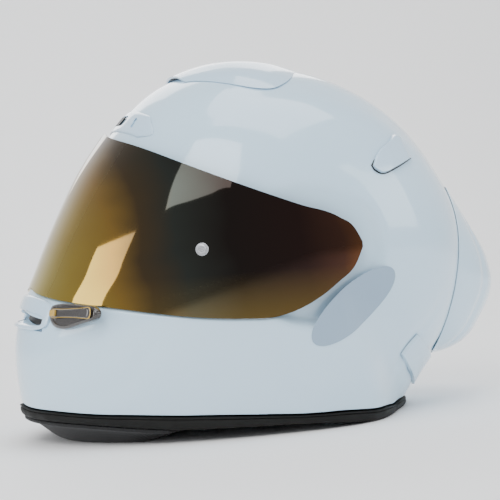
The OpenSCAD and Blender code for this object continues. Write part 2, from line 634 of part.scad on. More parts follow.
// Half-round ring with a straight bar on its hinge, lying towards -X
module d_ring() {
    r = ring_wire / 2;
    half = 13;
    rotate([90, 0, 0]) translate([0, 0, -half]) cylinder(r = r, h = 2 * half);
    for (k = [-1, 1]) translate([0, k * half, 0]) {
        sphere(r);
        rotate([0, -90, 0]) cylinder(r = r, h = 4);
    }
    translate([-4, 0, 0]) rotate([0, 0, 90]) rotate_extrude(angle = 180) translate([half, 0]) circle(r);
}
module d_ring_inner() { color(steel) translate([ring_x, 0, ring_low]) d_ring(); }
module d_ring_outer() { color(steel) translate([ring_x, 0, ring_high]) rotate([0, 25, 0]) d_ring(); }
module strap_snap() {
    color(black) {
        translate([-14, 0, 4.5]) cylinder(r = 7.5, h = 1.4);
        translate([-14, 0, 5.8]) cylinder(r = 4.5, h = 1.2);
    }
}

shell();
eyeport_seal();
lower_trim();
impact_liner();
chin_liner();
crown_pad();
cheek_pad(1);  // cheek_pad_left
cheek_pad(-1);  // cheek_pad_right
neck_roll();
chin_curtain();
breath_guard();
visor();
visor_hub(1);  // visor_hub_left
visor_hub(-1);  // visor_hub_right
antifog_lens();
tear_off_post(1);  // tear_off_post_left
tear_off_post(-1);  // tear_off_post_right
base_plate(1);  // base_plate_left
base_plate(-1);  // base_plate_right
plate_screws(1);  // plate_screws_left
plate_screws(-1);  // plate_screws_right
lock_housing();
lock_lever();
chin_vent_frame();
chin_vent_shutter();
chin_vent_mesh();
brow_vent_cover();
brow_vent_slider();
top_vent_cover();
top_vent_slider();
rear_vent(1);  // rear_vent_left
rear_vent(-1);  // rear_vent_right
rear_panel(1);  // rear_panel_left
rear_panel(-1);  // rear_panel_right
rear_spoiler();
side_decal(1);  // decal_left
side_decal(-1);  // decal_right
strap_left();
strap_right();
strap_rivet(1);  // strap_rivet_left
strap_rivet(-1);  // strap_rivet_right
ring_keeper();
d_ring_inner();
d_ring_outer();
strap_snap();
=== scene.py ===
import bmesh
import bpy
from math import sin, cos, acos, atan2, radians, degrees, pi, sqrt, exp, hypot
from mathutils import Vector, Matrix


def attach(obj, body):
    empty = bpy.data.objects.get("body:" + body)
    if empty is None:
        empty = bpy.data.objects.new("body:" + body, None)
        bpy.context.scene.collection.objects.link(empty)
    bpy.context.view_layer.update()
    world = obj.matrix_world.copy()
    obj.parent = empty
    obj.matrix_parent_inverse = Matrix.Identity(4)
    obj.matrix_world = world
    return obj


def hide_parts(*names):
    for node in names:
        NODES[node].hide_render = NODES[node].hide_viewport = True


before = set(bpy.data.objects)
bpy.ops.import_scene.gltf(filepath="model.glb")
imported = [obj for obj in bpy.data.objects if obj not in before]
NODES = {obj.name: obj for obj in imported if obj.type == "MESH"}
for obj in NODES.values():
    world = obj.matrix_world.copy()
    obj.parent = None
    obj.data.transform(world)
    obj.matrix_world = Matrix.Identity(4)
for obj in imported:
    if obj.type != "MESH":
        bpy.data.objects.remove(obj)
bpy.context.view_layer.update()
MM = 0.001

# ------------------------------------------------------------------ helmet surface, in mm
HALF_W, WALL, FLARE, PIVOT_Y, PIVOT_Z = 119.0, 3.2, 3.6, 9.0, 122.5
VISOR_HALF_W, VISOR_T, LINER_GAP = 124.5, 2.2, 0.8
HEAD = (84.0, 102.0, 216.0 - PIVOT_Z)
# flat seats of the visor pivots, x from the mid-plane: outside, inside of the shell, and the liner
SEAT_X, SEAT_INNER_X, SEAT_LINER_X = 113.2, 110.4, 109.6
OUTLINE = [(-36, 218), (-24, 203.5), (-12, 187), (-6, 175), (0, 164), (8, 156), (16, 150), (25, 146),
           (40, 141.5), (60, 141), (75, 137), (95, 131.5), (125, 130), (155, 134.5), (180, 142.5),
           (205, 146), (230, 148), (238, 155), (250, 205), (268, 248), (290, 248), (310, 234), (324, 218)]
SQUARENESS = [(-36, 0), (0, 0), (45, .02), (90, .03), (135, .035), (180, .035), (205, .02), (228, -.03),
              (245, -.02), (270, 0), (324, 0)]
VISOR_OUTLINE = [(-14, 190), (-8, 182.5), (0, 169.5), (8, 160), (16, 153.5), (25, 149.2), (35, 146.2),
                 (45, 145.5), (70, 144.5), (120, 144.5), (240, 170), (300, 240), (346, 190)]
VISOR_SQUARENESS = [(-14, 0), (0, .01), (40, .03), (120, .03), (300, 0), (346, 0)]
PORT_LOW = [(0, -1.6), (32, -7.3), (51, -10.4), (58, -8.6), (62, -4), (90, -6), (180, -9)]
PORT_TOP = [(0, 35.8), (29, 29.7), (44, 22.9), (55, 15), (62, 9), (90, 14), (180, 22)]
RIM = [(0, -26.4), (15, -28.5), (29, -32.1), (50, -38.1), (70, -42.6), (82, -44.3), (90, -44.9),
       (101, -45.6), (119, -47.8), (137, -51.2), (160, -51.6), (180, -50.9)]
VISOR_LOW = [(0, -4.1), (34.6, -10.5), (41.8, -12.4), (54.3, -15.5), (65.4, -17.5), (77, -18.4),
             (86.8, -15.9), (96.7, -10.2), (103, -4.8), (105.6, .2)]
VISOR_TOP = [(0, 39), (37, 31.9), (55.3, 26), (71, 20.2), (86, 14.4), (98.5, 9.5), (103.2, 5.8), (105.6, 1.1)]
VISOR_END, PORT_END, MOUTH_END = 105.4, 62, 13.5
TRIM_LOW = [(0, 19.5), (20, 16.5), (45, 9.5), (60, 8), (85, 5.5), (105, 2), (120, 0), (130, 0), (180, 0)]


def along(T, x):
    """Smooth value of the table T at x."""
    n = len(T)
    i = 0
    while i + 2 < n and x > T[i + 1][0]:
        i += 1

    def sec(k):
        return (T[k + 1][1] - T[k][1]) / (T[k + 1][0] - T[k][0])

    def tan_at(k):
        if k == 0:
            return sec(0)
        if k == n - 1:
            return sec(k - 1)
        before, after = T[k][0] - T[k - 1][0], T[k + 1][0] - T[k][0]
        return (sec(k - 1) * after + sec(k) * before) / (before + after)
    w = T[i + 1][0] - T[i][0]
    s = (min(max(x, T[0][0]), T[-1][0]) - T[i][0]) / w
    s2, s3 = s * s, s * s * s
    return ((2 * s3 - 3 * s2 + 1) * T[i][1] + (s3 - 2 * s2 + s) * w * tan_at(i)
            + (3 * s2 - 2 * s3) * T[i + 1][1] + (s3 - s2) * w * tan_at(i + 1))


def tabled(T, step=0.25):
    """The table's curve sampled once, so that dense meshes build quickly."""
    lo, hi = T[0][0], T[-1][0]
    n = int(round((hi - lo) / step))
    V = [along(T, lo + (hi - lo) * i / n) for i in range(n + 1)]

    def f(x):
        u = (min(max(x, lo), hi) - lo) / (hi - lo) * n
        i = min(int(u), n - 1)
        return V[i] + (V[i + 1] - V[i]) * (u - i)
    return f


outline, squareness = tabled(OUTLINE), tabled(SQUARENESS)
visor_outline, visor_square = tabled(VISOR_OUTLINE), tabled(VISOR_SQUARENESS)
port_low, port_top, rim_at = tabled(PORT_LOW), tabled(PORT_TOP), tabled(RIM)
visor_low, visor_top, trim_low = tabled(VISOR_LOW), tabled(VISOR_TOP), tabled(TRIM_LOW)


def ramp(x, a, b):
    s = min(max((x - a) / (b - a), 0), 1)
    return s * s * (3 - 2 * s)


def turned(a):
    """An angle brought into the range that the tables cover."""
    return a + 360 if a < -36 else a - 360 if a > 324 else a


def ball_point(a, t, r0, w, k):
    t, ar = radians(t), radians(a)
    g = 1 + k * sin(2 * t) ** 2
    r = r0 * cos(t) * g
    return Vector((w * sin(t) * g, PIVOT_Y - r * cos(ar), PIVOT_Z + r * sin(ar)))


def base_point(a, t, off=0):
    b = turned(a)
    return ball_point(a, t, outline(b) + off, HALF_W + off, squareness(b))


def flare_at(a, t):
    b = turned(a)
    under = max(ramp(b, 215, 260), 1 - ramp(b, -2, 12))
    return max(under, ramp(b, 120, 165) * ramp(abs(t), 25, 65))


def skin_point(a, t, off=0):
    return base_point(a, t, off + FLARE * flare_at(a, t))


def dir_of(b, e):
    b, e = radians(b), radians(e)
    return (sin(b) * cos(e), -cos(b) * cos(e), sin(e))


def t_of(d, r, w):
    return degrees(atan2(d[0] / w, hypot(d[1], d[2]) / r))


def plain_at(b, e, off=0):
    d = dir_of(b, e)
    a = degrees(atan2(d[2], -d[1]))
    return base_point(a, t_of(d, outline(turned(a)) + off, HALF_W + off), off)


def skin_at(b, e, off=0, share=1):
    d = dir_of(b, e)
    a = degrees(atan2(d[2], -d[1]))
    r = outline(turned(a))
    lift = off + share * FLARE * flare_at(a, t_of(d, r, HALF_W))
    return base_point(a, t_of(d, r + lift, HALF_W + lift), lift)


def visor_at(b, e, off=0):
    d = dir_of(b, e)
    a = degrees(atan2(d[2], -d[1]))
    v = a + 360 if a < -14 else a
    r = visor_outline(v) + off
    return ball_point(a, t_of(d, r, VISOR_HALF_W + off), r, VISOR_HALF_W + off, visor_square(v))


def bare(b, e):
    """0 under the visor and 1 away from it."""
    return max(ramp(visor_low(abs(b)) - e, 0, .8), ramp(abs(b), 106, 110), ramp(e - visor_top(abs(b)), 1, 8))


def seated(p, x):
    """A point brought in to the flat seat of the visor pivot."""
    k = ramp(hypot(p[1] - PIVOT_Y, p[2] - PIVOT_Z), 45, 54)
    s = 1 if p[0] >= 0 else -1
    return Vector((s * (min(abs(p[0]), x) * (1 - k) + abs(p[0]) * k), p[1], p[2]))


def side_point(y, z, off=0):
    a = degrees(atan2(z - PIVOT_Z, PIVOT_Y - y))

    def across(lift):
        b = turned(a)
        share = min(1, hypot(y - PIVOT_Y, z - PIVOT_Z) / (outline(b) + lift))
        t = acos(share)
        for _ in range(2):
            t = acos(min(1, share / (1 + squareness(b) * sin(2 * t) ** 2)))
        return degrees(t)
    lift = off + FLARE * flare_at(a, across(off))
    t = radians(across(lift))
    return Vector(((HALF_W + lift) * sin(t) * (1 + squareness(turned(a)) * sin(2 * t) ** 2), y, z))


def head_at(b, e, inset=0):
    d = dir_of(b, e)
    n = sqrt((d[0] / (HEAD[0] - inset)) ** 2 + (d[1] / (HEAD[1] - inset)) ** 2
             + (max(d[2], 0) / (HEAD[2] - inset)) ** 2)
    return Vector((0, PIVOT_Y, PIVOT_Z)) + Vector(d) / n


def finer(T, n):
    """The list T with n steps in place of each one."""
    out = [T[0] + 0.0]
    for p, q in zip(T, T[1:]):
        out += [p + (q - p) * (k + 1) / n for k in range(n)]
    return out


def steps(a, b, n):
    return [a + (b - a) * k / n for k in range(n + 1)]


# ------------------------------------------------------------------ mesh building
def new_mesh(name, verts, faces, angle=35, scale=MM):
    me = bpy.data.meshes.new(name)
    me.from_pydata([tuple(Vector(v) * scale) for v in verts], [], faces)
    me.validate()
    me.update()
    me.shade_smooth()
    if angle is not None:
        me.set_sharp_from_angle(angle=radians(angle))
    o = bpy.data.objects.new(name, me)
    bpy.context.scene.collection.objects.link(o)
    return o


def skin(name, outer, inner, ring=False, crown=False, kept=None, angle=35):
    rows, cols = len(outer), len(outer[0])
    last = cols - 1 if ring else cols - 2
    cells = rows - 3 if crown else rows - 2
    used = cells + 2
    n = used * cols
    verts = [p for i in range(used) for p in outer[i]] + [p for i in range(used) for p in inner[i]]

    def vid(i, j):
        return i * cols + j % cols

    def is_open(i, j):
        if i < 0 or (not ring and (j < 0 or j > last)):
            return True
        if i > cells:
            return not crown
        return kept is not None and not kept(i, j % cols)
    faces = []
    for i in range(cells + 1):
        for j in range(last + 1):
            if is_open(i, j):
                continue
            a, b, c, d = vid(i, j), vid(i + 1, j), vid(i + 1, j + 1), vid(i, j + 1)
            faces += [(d, c, b, a), (n + a, n + b, n + c, n + d)]
            for p, q, gap in ((a, b, is_open(i, j - 1)), (b, c, is_open(i + 1, j)),
                              (c, d, is_open(i, j + 1)), (d, a, is_open(i - 1, j))):
                if gap:
                    faces.append((p, q, n + q, n + p))
    if crown:
        verts += [outer[-1][0], inner[-1][0]]
        for j in range(last + 1):
            a, b = vid(cells + 1, j), vid(cells + 1, j + 1)
            faces += [(b, 2 * n, a), (n + a, 2 * n + 1, n + b)]
    return clean(new_mesh(name, verts, faces, angle))


def clean(o):
    """Drops loose points, makes the faces point outwards."""
    bm = bmesh.new()
    bm.from_mesh(o.data)
    loose = [v for v in bm.verts if not v.link_faces]
    bmesh.ops.delete(bm, geom=loose, context="VERTS")
    bmesh.ops.recalc_face_normals(bm, faces=bm.faces)
    bm.to_mesh(o.data)
    bm.free()
    return o


def band(name, rings, angle=40):
    n, m = len(rings), len(rings[0])
    verts = [p for r in rings for p in r]
    faces = [(i * m + j, i * m + (j + 1) % m, (i + 1) % n * m + (j + 1) % m, (i + 1) % n * m + j)
             for i in range(n) for j in range(m)]
    return clean(new_mesh(name, verts, faces, angle))


def fan(low, high, bearings, rows, spot):
    lo = low if callable(low) else (lambda b, T=low: along(T, b))
    hi = high if callable(high) else (lambda b, T=high: along(T, b))
    return [[spot(b, lo(abs(b)) + (hi(abs(b)) - lo(abs(b))) * i / rows) for b in bearings]
            for i in range(rows + 1)]


def net(A, T, H, rows, cols):
    out = []
    for i in range(rows + 1):
        u = i / rows
        a, t = along(A, u), along(T, u)
        out.append([skin_point(a, (2 * j / cols - 1) * t, H(u, 2 * j / cols - 1)) for j in range(cols + 1)])
    return out


def mirrored(net_points):
    return [[Vector((-p[0], p[1], p[2])) for p in row] for row in net_points]


def put(o, body, slot_name, mat, *replaced):
    o.data.materials.clear()
    o.data.materials.append(mat)
    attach(o, body)
    if replaced:
        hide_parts(*replaced)
    return o


def bevelled(o, width, segments=3, angle=30):
    m = o.modifiers.new("bevel", "BEVEL")
    m.width = width * MM
    m.segments = segments
    m.limit_method = "ANGLE"
    m.angle_limit = radians(angle)
    return o


# ------------------------------------------------------------------ materials
def material(name, **values):
    m = bpy.data.materials.new(name)
    m.use_nodes = True
    bsdf = m.node_tree.nodes["Principled BSDF"]
    for key, v in values.items():
        bsdf.inputs[key.replace("_", " ")].default_value = v
    return m, m.node_tree.nodes, m.node_tree.links, bsdf


def coords(N, L, scale=(1, 1, 1), rot=(0, 0, 0)):
    tc, mp = N.new("ShaderNodeTexCoord"), N.new("ShaderNodeMapping")
    mp.inputs["Scale"].default_value = scale
    mp.inputs["Rotation"].default_value = rot
    L.new(tc.outputs["Object"], mp.inputs["Vector"])
    return mp.outputs["Vector"]


def noise(N, L, vec, scale, detail=3, rough=0.5):
    n = N.new("ShaderNodeTexNoise")
    n.inputs["Scale"].default_value = scale
    n.inputs["Detail"].default_value = detail
    n.inputs["Roughness"].default_value = rough
    L.new(vec, n.inputs["Vector"])
    return n.outputs["Fac"]


def color_ramp(N, L, fac, stops):
    r = N.new("ShaderNodeValToRGB")
    el = r.color_ramp.elements
    while len(el) < len(stops):
        el.new(0.5)
    for e, (pos, col) in zip(el, stops):
        e.position = pos
        e.color = (*col, 1)
    L.new(fac, r.inputs["Fac"])
    return r.outputs["Color"]


def map_range(N, L, fac, a, b, c, d):
    r = N.new("ShaderNodeMapRange")
    for k, v in zip(("From Min", "From Max", "To Min", "To Max"), (a, b, c, d)):
        r.inputs[k].default_value = v
    L.new(fac, r.inputs["Value"])
    return r.outputs["Result"]


def bump(N, L, bsdf, height, strength, distance=0.001):
    b = N.new("ShaderNodeBump")
    b.inputs["Strength"].default_value = strength
    b.inputs["Distance"].default_value = distance
    L.new(height, b.inputs["Height"])
    L.new(b.outputs["Normal"], bsdf.inputs["Normal"])


def gloss_paint(name, base, dark, rough=(0.10, 0.2)):
    m, N, L, B = material(name, Coat_Weight=0.8, Coat_Roughness=0.04, IOR=1.5)
    v = coords(N, L)
    L.new(color_ramp(N, L, noise(N, L, v, 9, 4), [(0.3, dark), (0.7, base)]), B.inputs["Base Color"])
    L.new(map_range(N, L, noise(N, L, v, 60, 5, .6), .3, .7, *rough), B.inputs["Roughness"])
    bump(N, L, B, noise(N, L, v, 420, 2), 0.03, 0.0004)
    return m


def plastic(name, base, dark, rough=(0.42, 0.6), grain=1500, strength=0.12):
    m, N, L, B = material(name, IOR=1.47)
    v = coords(N, L)
    L.new(color_ramp(N, L, noise(N, L, v, 25, 4), [(0.3, dark), (0.7, base)]), B.inputs["Base Color"])
    L.new(map_range(N, L, noise(N, L, v, 90, 4), .3, .7, *rough), B.inputs["Roughness"])
    bump(N, L, B, noise(N, L, v, grain, 2), strength, 0.0003)
    return m


def cloth(name, base, dark, pitch=900, sheen=0.4, strength=0.5):
    m, N, L, B = material(name, Roughness=0.9, Sheen_Weight=sheen, Sheen_Roughness=0.5)
    v = coords(N, L)
    waves = []
    for axis in ("X", "Y"):
        w = N.new("ShaderNodeTexWave")
        w.bands_direction = axis
        w.inputs["Scale"].default_value = pitch / 6.283  # about 2 pi
        w.inputs["Distortion"].default_value = 1.2
        w.inputs["Detail Scale"].default_value = 3
        L.new(coords(N, L, rot=(0.2, 0.3, 0.785)), w.inputs["Vector"])
        waves.append(w.outputs["Fac"])
    mul = N.new("ShaderNodeMath")
    mul.operation = "MAXIMUM"
    L.new(waves[0], mul.inputs[0])
    L.new(waves[1], mul.inputs[1])
    mix = N.new("ShaderNodeMix")
    mix.data_type = "RGBA"
    mix.inputs["A"].default_value = (*dark, 1)
    L.new(mul.outputs[0], mix.inputs["Factor"])
    L.new(color_ramp(N, L, noise(N, L, v, 30, 5), [(0.3, dark), (0.7, base)]), mix.inputs["B"])
    L.new(mix.outputs["Result"], B.inputs["Base Color"])
    bump(N, L, B, mul.outputs[0], strength, 0.0004)
    return m


def brushed(name, base, dark):
    m, N, L, B = material(name, Metallic=1.0)
    v = coords(N, L, (1, 1, 24))
    L.new(color_ramp(N, L, noise(N, L, v, 160, 4), [(0.3, dark), (0.7, base)]), B.inputs["Base Color"])
    L.new(map_range(N, L, noise(N, L, v, 260, 3), .3, .7, 0.2, 0.38), B.inputs["Roughness"])
    bump(N, L, B, noise(N, L, v, 500, 2), 0.08, 0.0002)
    return m


def beads(name, base, dark):
    m, N, L, B = material(name, Roughness=0.75)
    v = coords(N, L)
    vo = N.new("ShaderNodeTexVoronoi")
    vo.inputs["Scale"].default_value = 240
    L.new(v, vo.inputs["Vector"])
    L.new(color_ramp(N, L, vo.outputs["Distance"], [(0.1, base), (0.7, dark)]), B.inputs["Base Color"])
    bump(N, L, B, vo.outputs["Distance"], -0.5, 0.0006)
    return m


def iridium(name):
    """Coated mirror: the colour changes from the front edge to the back and is partly the coating's own
    colour, partly a painted reflection: gold at the front, nearly black in the middle, dark red at the back,
    with a faint gold towards the bottom.
    """
    m, N, L, B = material(name, Metallic=1.0, Roughness=0.05, Coat_Weight=0.25, Coat_Roughness=0.02)
    tc = N.new("ShaderNodeTexCoord")
    sep = N.new("ShaderNodeSeparateXYZ")
    L.new(tc.outputs["Object"], sep.inputs["Vector"])
    warp = noise(N, L, coords(N, L, (6, 9, 14)), 1.2, 3)
    y = map_range(N, L, sep.outputs["Y"], -0.167, 0.043, -0.08, 0.92)
    add = N.new("ShaderNodeMath")
    add.operation = "MULTIPLY_ADD"
    L.new(warp, add.inputs[0])
    add.inputs[1].default_value = 0.16
    L.new(y, add.inputs[2])
    # partly coating colour, partly painted reflection: gold front edge, nearly black middle, dark red back
    col = color_ramp(N, L, add.outputs[0], [
        (0.0, (.47, .38, .09)), (0.1, (.36, .25, .045)), (0.22, (.26, .15, .03)), (0.31, (.07, .045, .02)),
        (0.42, (.03, .034, .028)), (0.58, (.012, .007, .005)), (0.8, (.018, .006, .004)),
        (0.93, (.045, .016, .008)), (1.0, (.11, .04, .012))])
    # painted reflection mixed with coating colour: a faint gold tint towards the bottom of the visor
    z = map_range(N, L, sep.outputs["Z"], 0.078, 0.112, 1, 0)
    low = N.new("ShaderNodeMix")
    low.data_type = "RGBA"
    scale = N.new("ShaderNodeMath")
    scale.operation = "MULTIPLY"
    L.new(z, scale.inputs[0])
    scale.inputs[1].default_value = 0.12
    L.new(scale.outputs[0], low.inputs["Factor"])
    L.new(col, low.inputs["A"])
    low.inputs["B"].default_value = (.60, .40, .06, 1)
    L.new(low.outputs["Result"], B.inputs["Base Color"])
    return m


def clear(name):
    m, N, L, B = material(name, Transmission_Weight=0.9, Roughness=0.05, IOR=1.5)
    L.new(color_ramp(N, L, noise(N, L, coords(N, L), 20, 2), [(0.3, (.80, .84, .86)), (0.7, (.9, .93, .95))]),
          B.inputs["Base Color"])
    return m


WHITE = gloss_paint("gloss_white", (0.58, 0.78, 0.93), (0.54, 0.75, 0.91))
VENT_WHITE = gloss_paint("vent_white", (0.55, 0.74, 0.90), (0.50, 0.70, 0.87))
DARK = gloss_paint("dark_gloss", (0.035, 0.03, 0.028), (0.018, 0.016, 0.015), (0.12, 0.3))
DECAL = gloss_paint("grey_blue", (0.28, 0.40, 0.53), (0.25, 0.37, 0.50), (0.16, 0.26))
RUBBER = plastic("rubber", (.03, .03, .032), (.018, .018, .02), (.55, .75), 900, .25)
TRIM = plastic("trim_rubber", (.010, .010, .009), (.006, .006, .006), (.5, .7), 1100, .2)
TRIM.node_tree.nodes["Principled BSDF"].inputs["Specular IOR Level"].default_value = 0.2
BLACK = plastic("black_plastic", (.028, .028, .03), (.015, .015, .017))
GOLD = plastic("gold_plastic", (.55, .36, .08), (.42, .26, .05), (.15, .3), 800, .05)
LINER = cloth("liner_cloth", (.16, .17, .19), (.075, .08, .09))
CURTAIN = cloth("curtain_cloth", (.012, .012, .013), (.006, .006, .007), sheen=.1)
WEB = cloth("webbing", (.035, .035, .037), (.012, .012, .013), 1500, .25, .8)
STEEL = brushed("steel", (.66, .67, .69), (.5, .51, .53))
FOAM = beads("foam", (.075, .075, .08), (.03, .03, .034))
IRIDIUM = iridium("iridium_visor")
CLEAR = clear("clear_lens")

# ------------------------------------------------------------------ camera, light, floor
# round from the front, up, and roll
turn_, rise, roll = radians(75), radians(2), radians(-4.5)
distance = 1.3
back = Vector((sin(turn_) * cos(rise), -cos(turn_) * cos(rise), sin(rise)))
right0 = Vector((cos(turn_), sin(turn_), 0))
up0 = back.cross(right0)
right = right0 * cos(roll) + up0 * sin(roll)
up = -right0 * sin(roll) + up0 * cos(roll)
cam_data = bpy.data.cameras.new("camera")
cam = bpy.data.objects.new("camera", cam_data)
bpy.context.scene.collection.objects.link(cam)
place = Vector((0, -2.6, 122)) * MM + back * distance
cam.matrix_world = Matrix(((right[0], up[0], back[0], place[0]), (right[1], up[1], back[1], place[1]),
                           (right[2], up[2], back[2], place[2]), (0, 0, 0, 1)))
cam_data.sensor_width = 36
cam_data.lens = 36 / 500 * 1300 / 0.7335  # 0.7335 mm to a pixel at 1300 mm
cam_data.shift_x = -0.003
cam_data.clip_start = 0.02
bpy.context.scene.camera = cam


def area(name, at, size, power, look=(0, 0, .12), color=(1, 1, 1)):
    d = bpy.data.lights.new(name, "AREA")
    d.energy, d.size, d.color = power, size, color
    o = bpy.data.objects.new(name, d)
    o.location = at
    o.rotation_euler = (Vector(at) - Vector(look)).to_track_quat("Z", "Y").to_euler()
    bpy.context.scene.collection.objects.link(o)


area("key", (1.2, -0.9, 1.5), 1.1, 20)
area("top", (0.2, 0.3, 1.9), 1.3, 16)
area("back_fill", (0.9, 1.5, 0.8), 1.0, 9)
area("front_fill", (0.3, -1.8, 0.6), 0.8, 9)
area("far_side", (-1.6, 0.2, 1.0), 1.2, 12)
world = bpy.data.worlds.new("world")
world.use_nodes = True
world.node_tree.nodes["Background"].inputs["Color"].default_value = (0.95, 0.97, 1.0, 1)
world.node_tree.nodes["Background"].inputs["Strength"].default_value = 0.75
bpy.context.scene.world = world

FLOOR, N, L, B = material("floor", Roughness=0.7)
L.new(color_ramp(N, L, noise(N, L, coords(N, L), 2, 2), [(0.3, (.95, .95, .95)), (0.7, (.96, .96, .96))]),
      B.inputs["Base Color"])
# the sweep rises behind the helmet as the camera sees it
profile = [(-3.0, 0)]
profile += [(1.2 + 0.6 * sin(radians(q)), 0.6 - 0.6 * cos(radians(q))) for q in range(0, 91, 10)]
profile += [(1.8, 3.0)]
side = Vector((right0[0], right0[1], 0))
away = -Vector((back[0], back[1], 0)).normalized()
sweep = [[away * p + side * s + Vector((0, 0, q)) for s in (-4, 4)] for p, q in profile]
floor = new_mesh("floor", [p for row in sweep for p in row],
                 [(2 * i, 2 * i + 1, 2 * i + 3, 2 * i + 2) for i in range(len(sweep) - 1)], None, 1)
floor.data.materials.append(FLOOR)

# ------------------------------------------------------------------ shell
BEARINGS = [0, 5, 10, MOUTH_END, 21, 27, 33, 39, 45, 51, 57, PORT_END, 67, 72, 77, 82, 87, 92, 97, 102,
            106, 110, 116, 124, 132, 140, 148, 156, 164, 172, 180]
dense = finer(BEARINGS, 4)
ROUND = dense + [-b for b in dense[-2:0:-1]]
CHIN_ROWS = [0, 0.3, 0.56, 0.715, 0.832, 0.93]
CHIN_FINE = 4
MOUTH_ROW = 3


def rises(b):
    """Rises of the shell's rows at a bearing: below the eye port, across it, and above."""
    b = abs(b)
    rim, low, high = rim_at(b), port_low(b), port_top(b)
    step = min(visor_low(b), low - 2.2)
    chin = [rim + f * (step - 0.9 - rim) for f in CHIN_ROWS] + [step - 0.9]
    rows = finer(chin, CHIN_FINE) + finer([step - 0.9, step + 0.1], 5)[1:] + finer([step + .1, low], 3)[1:]
    port = finer([low, high], 16)[1:]
    return rows, port, finer([high, 90], 44)[1:]


CREASES = [  # side-view lines (y, z) of folds in the shell, with their depth and width in mm
    ([(-160, 38), (-136, 36), (-118, 46), (-104, 65), (-96, 80)], 1.3, 4.5),
    ([(-30, 30), (20, 17), (60, 20), (84, 25), (112, 38), (129, 50)], 0.9, 4.0),
    ([(62, 21), (84, 44), (108, 75), (120, 92)], 1.0, 2.4),
    ([(-60, 213), (-20, 232), (30, 236), (80, 216), (118, 184), (140, 150)], 0.7, 6.0),
]


def creased(p, q):
    """p moved in towards the inner point q along the folds."""
    deep = 0
    for line, depth, width in CREASES:
        best = 1e9
        for (y0, z0), (y1, z1) in zip(line, line[1:]):
            dy, dz = y1 - y0, z1 - z0
            s = min(max(((p[1] - y0) * dy + (p[2] - z0) * dz) / (dy * dy + dz * dz), 0), 1)
            best = min(best, hypot(p[1] - y0 - s * dy, p[2] - z0 - s * dz))
        if best < 3 * width:
            ends = min(hypot(p[1] - y, p[2] - z) for y, z in (line[0], line[-1]))
            deep += depth * exp(-(best / width) ** 2) * ramp(ends, 0, 22) * ramp(abs(p[0]), 25, 45)
    return p + (q - p).normalized() * deep if deep else p


table = [rises(b) for b in ROUND]
first_port = len(table[0][0]) - 1
n_port = len(table[0][1])
rows_all = [t[0] + t[1] + t[2] for t in table]
outer, inner = [], []
for i in range(len(rows_all[0])):
    o_row, i_row = [], []
    for j, b in enumerate(ROUND):
        el = rows_all[j][i]
        q = seated(plain_at(b, el, -WALL), SEAT_INNER_X)
        p = seated(skin_at(b, el, 0, bare(b, el)), SEAT_X)
        o_row.append(creased(p, q))
        i_row.append(q)
    outer.append(o_row)
    inner.append(i_row)


def shell_kept(i, j):
    b = (ROUND[j] + ROUND[(j + 1) % len(ROUND)]) / 2 if j + 1 < len(ROUND) else ROUND[j] + 0.5
    mouth = MOUTH_ROW * CHIN_FINE <= i < (MOUTH_ROW + 1) * CHIN_FINE and abs(b) < MOUTH_END
    port = first_port <= i < first_port + n_port and abs(b) < PORT_END
    return not (mouth or port)


shell = skin("helmet_shell", outer, inner, True, True, shell_kept, 38)
put(shell, "helmet", "gloss_white", WHITE, "shell")

# rolled rubber edge with a piping line
rings = []
for b in ROUND:
    el, low = rim_at(abs(b)), max(0, trim_low(abs(b)))
    p, q, foot = skin_at(b, el, 0.7), plain_at(b, el, -6), skin_at(b, el, -1.2)
    out = Vector((p[0], p[1] - PIVOT_Y, 0)).normalized()
    top = p[2] - 0.9
    ring = []
    for f, bulge in ((0, 0), (0.05, .7), (0.2, 1.3), (0.4, 1.5), (0.6, 1.3), (0.74, .9), (0.79, .1),
                     (0.84, .9), (0.95, .9), (1, .2)):
        x, y = (foot[k] + (p[k] - foot[k]) * f for k in (0, 1))
        ring.append(Vector((x, y, low + (top - low) * f)) + out * bulge)
    ring += [Vector((q[0], q[1], top)), Vector((q[0], q[1], low + 1)), Vector((q[0], q[1], low)) + out * 1.2]
    rings.append(ring)
put(band("edge_trim", rings, 50), "helmet", "trim_rubber", TRIM, "lower_trim")

# ------------------------------------------------------------------ visor and lens
vb = finer([0, 6, 12, 18, 24, 30, 36, 42, 48, 54, 60, 66, 72, 78, 84, 90, 95, 99, 102, 104, VISOR_END], 4)
vb = [-b for b in vb[:0:-1]] + vb


def visor_spot(off):
    return lambda b, el: visor_at(b, el, off)


visor = skin("mirror_visor", fan(visor_low, visor_top, vb, 40, visor_spot(0)),
             fan(visor_low, visor_top, vb, 40, visor_spot(-VISOR_T)), angle=60)
bevelled(visor, 0.5, 2, 50)
put(visor, "visor", "iridium_visor", IRIDIUM, "visor")

LENS_LOW = [(0, 2), (30, -3), (45, -4.5), (52, -1.5), (56, 4.8)]
LENS_TOP = [(0, 31), (30, 25), (45, 18), (52, 12), (56, 6.6)]
lb = finer([0, 7, 14, 21, 28, 34, 40, 45, 49, 52, 54.5, 56], 3)
lb = [-b for b in lb[:0:-1]] + lb
lens = skin("antifog_insert", fan(LENS_LOW, LENS_TOP, lb, 16, visor_spot(-VISOR_T - .4)),
            fan(LENS_LOW, LENS_TOP, lb, 16, visor_spot(-VISOR_T - 1.4)), angle=60)
put(lens, "visor", "clear_lens", CLEAR, "antifog_lens")


def turned_piece(name, at, axis, line, segments=48):
    """Solid of revolution: line lists (radius, height along axis)."""
    rot = Vector(axis).to_track_quat("Z", "Y").to_matrix()
    verts, faces = [], []
    for rad, h in line:
        for k in range(segments):
            w = 2 * pi * k / segments
            verts.append(Vector(at) + rot @ Vector((rad * cos(w), rad * sin(w), h)))
    for i in range(len(line) - 1):
        for k in range(segments):
            q = (k + 1) % segments
            faces.append((i * segments + k, i * segments + q, (i + 1) * segments + q,
                          (i + 1) * segments + k))
    faces.append(tuple(range(segments))[::-1])
    faces.append(tuple(range((len(line) - 1) * segments, len(line) * segments)))
    return clean(new_mesh(name, verts, faces, 35))


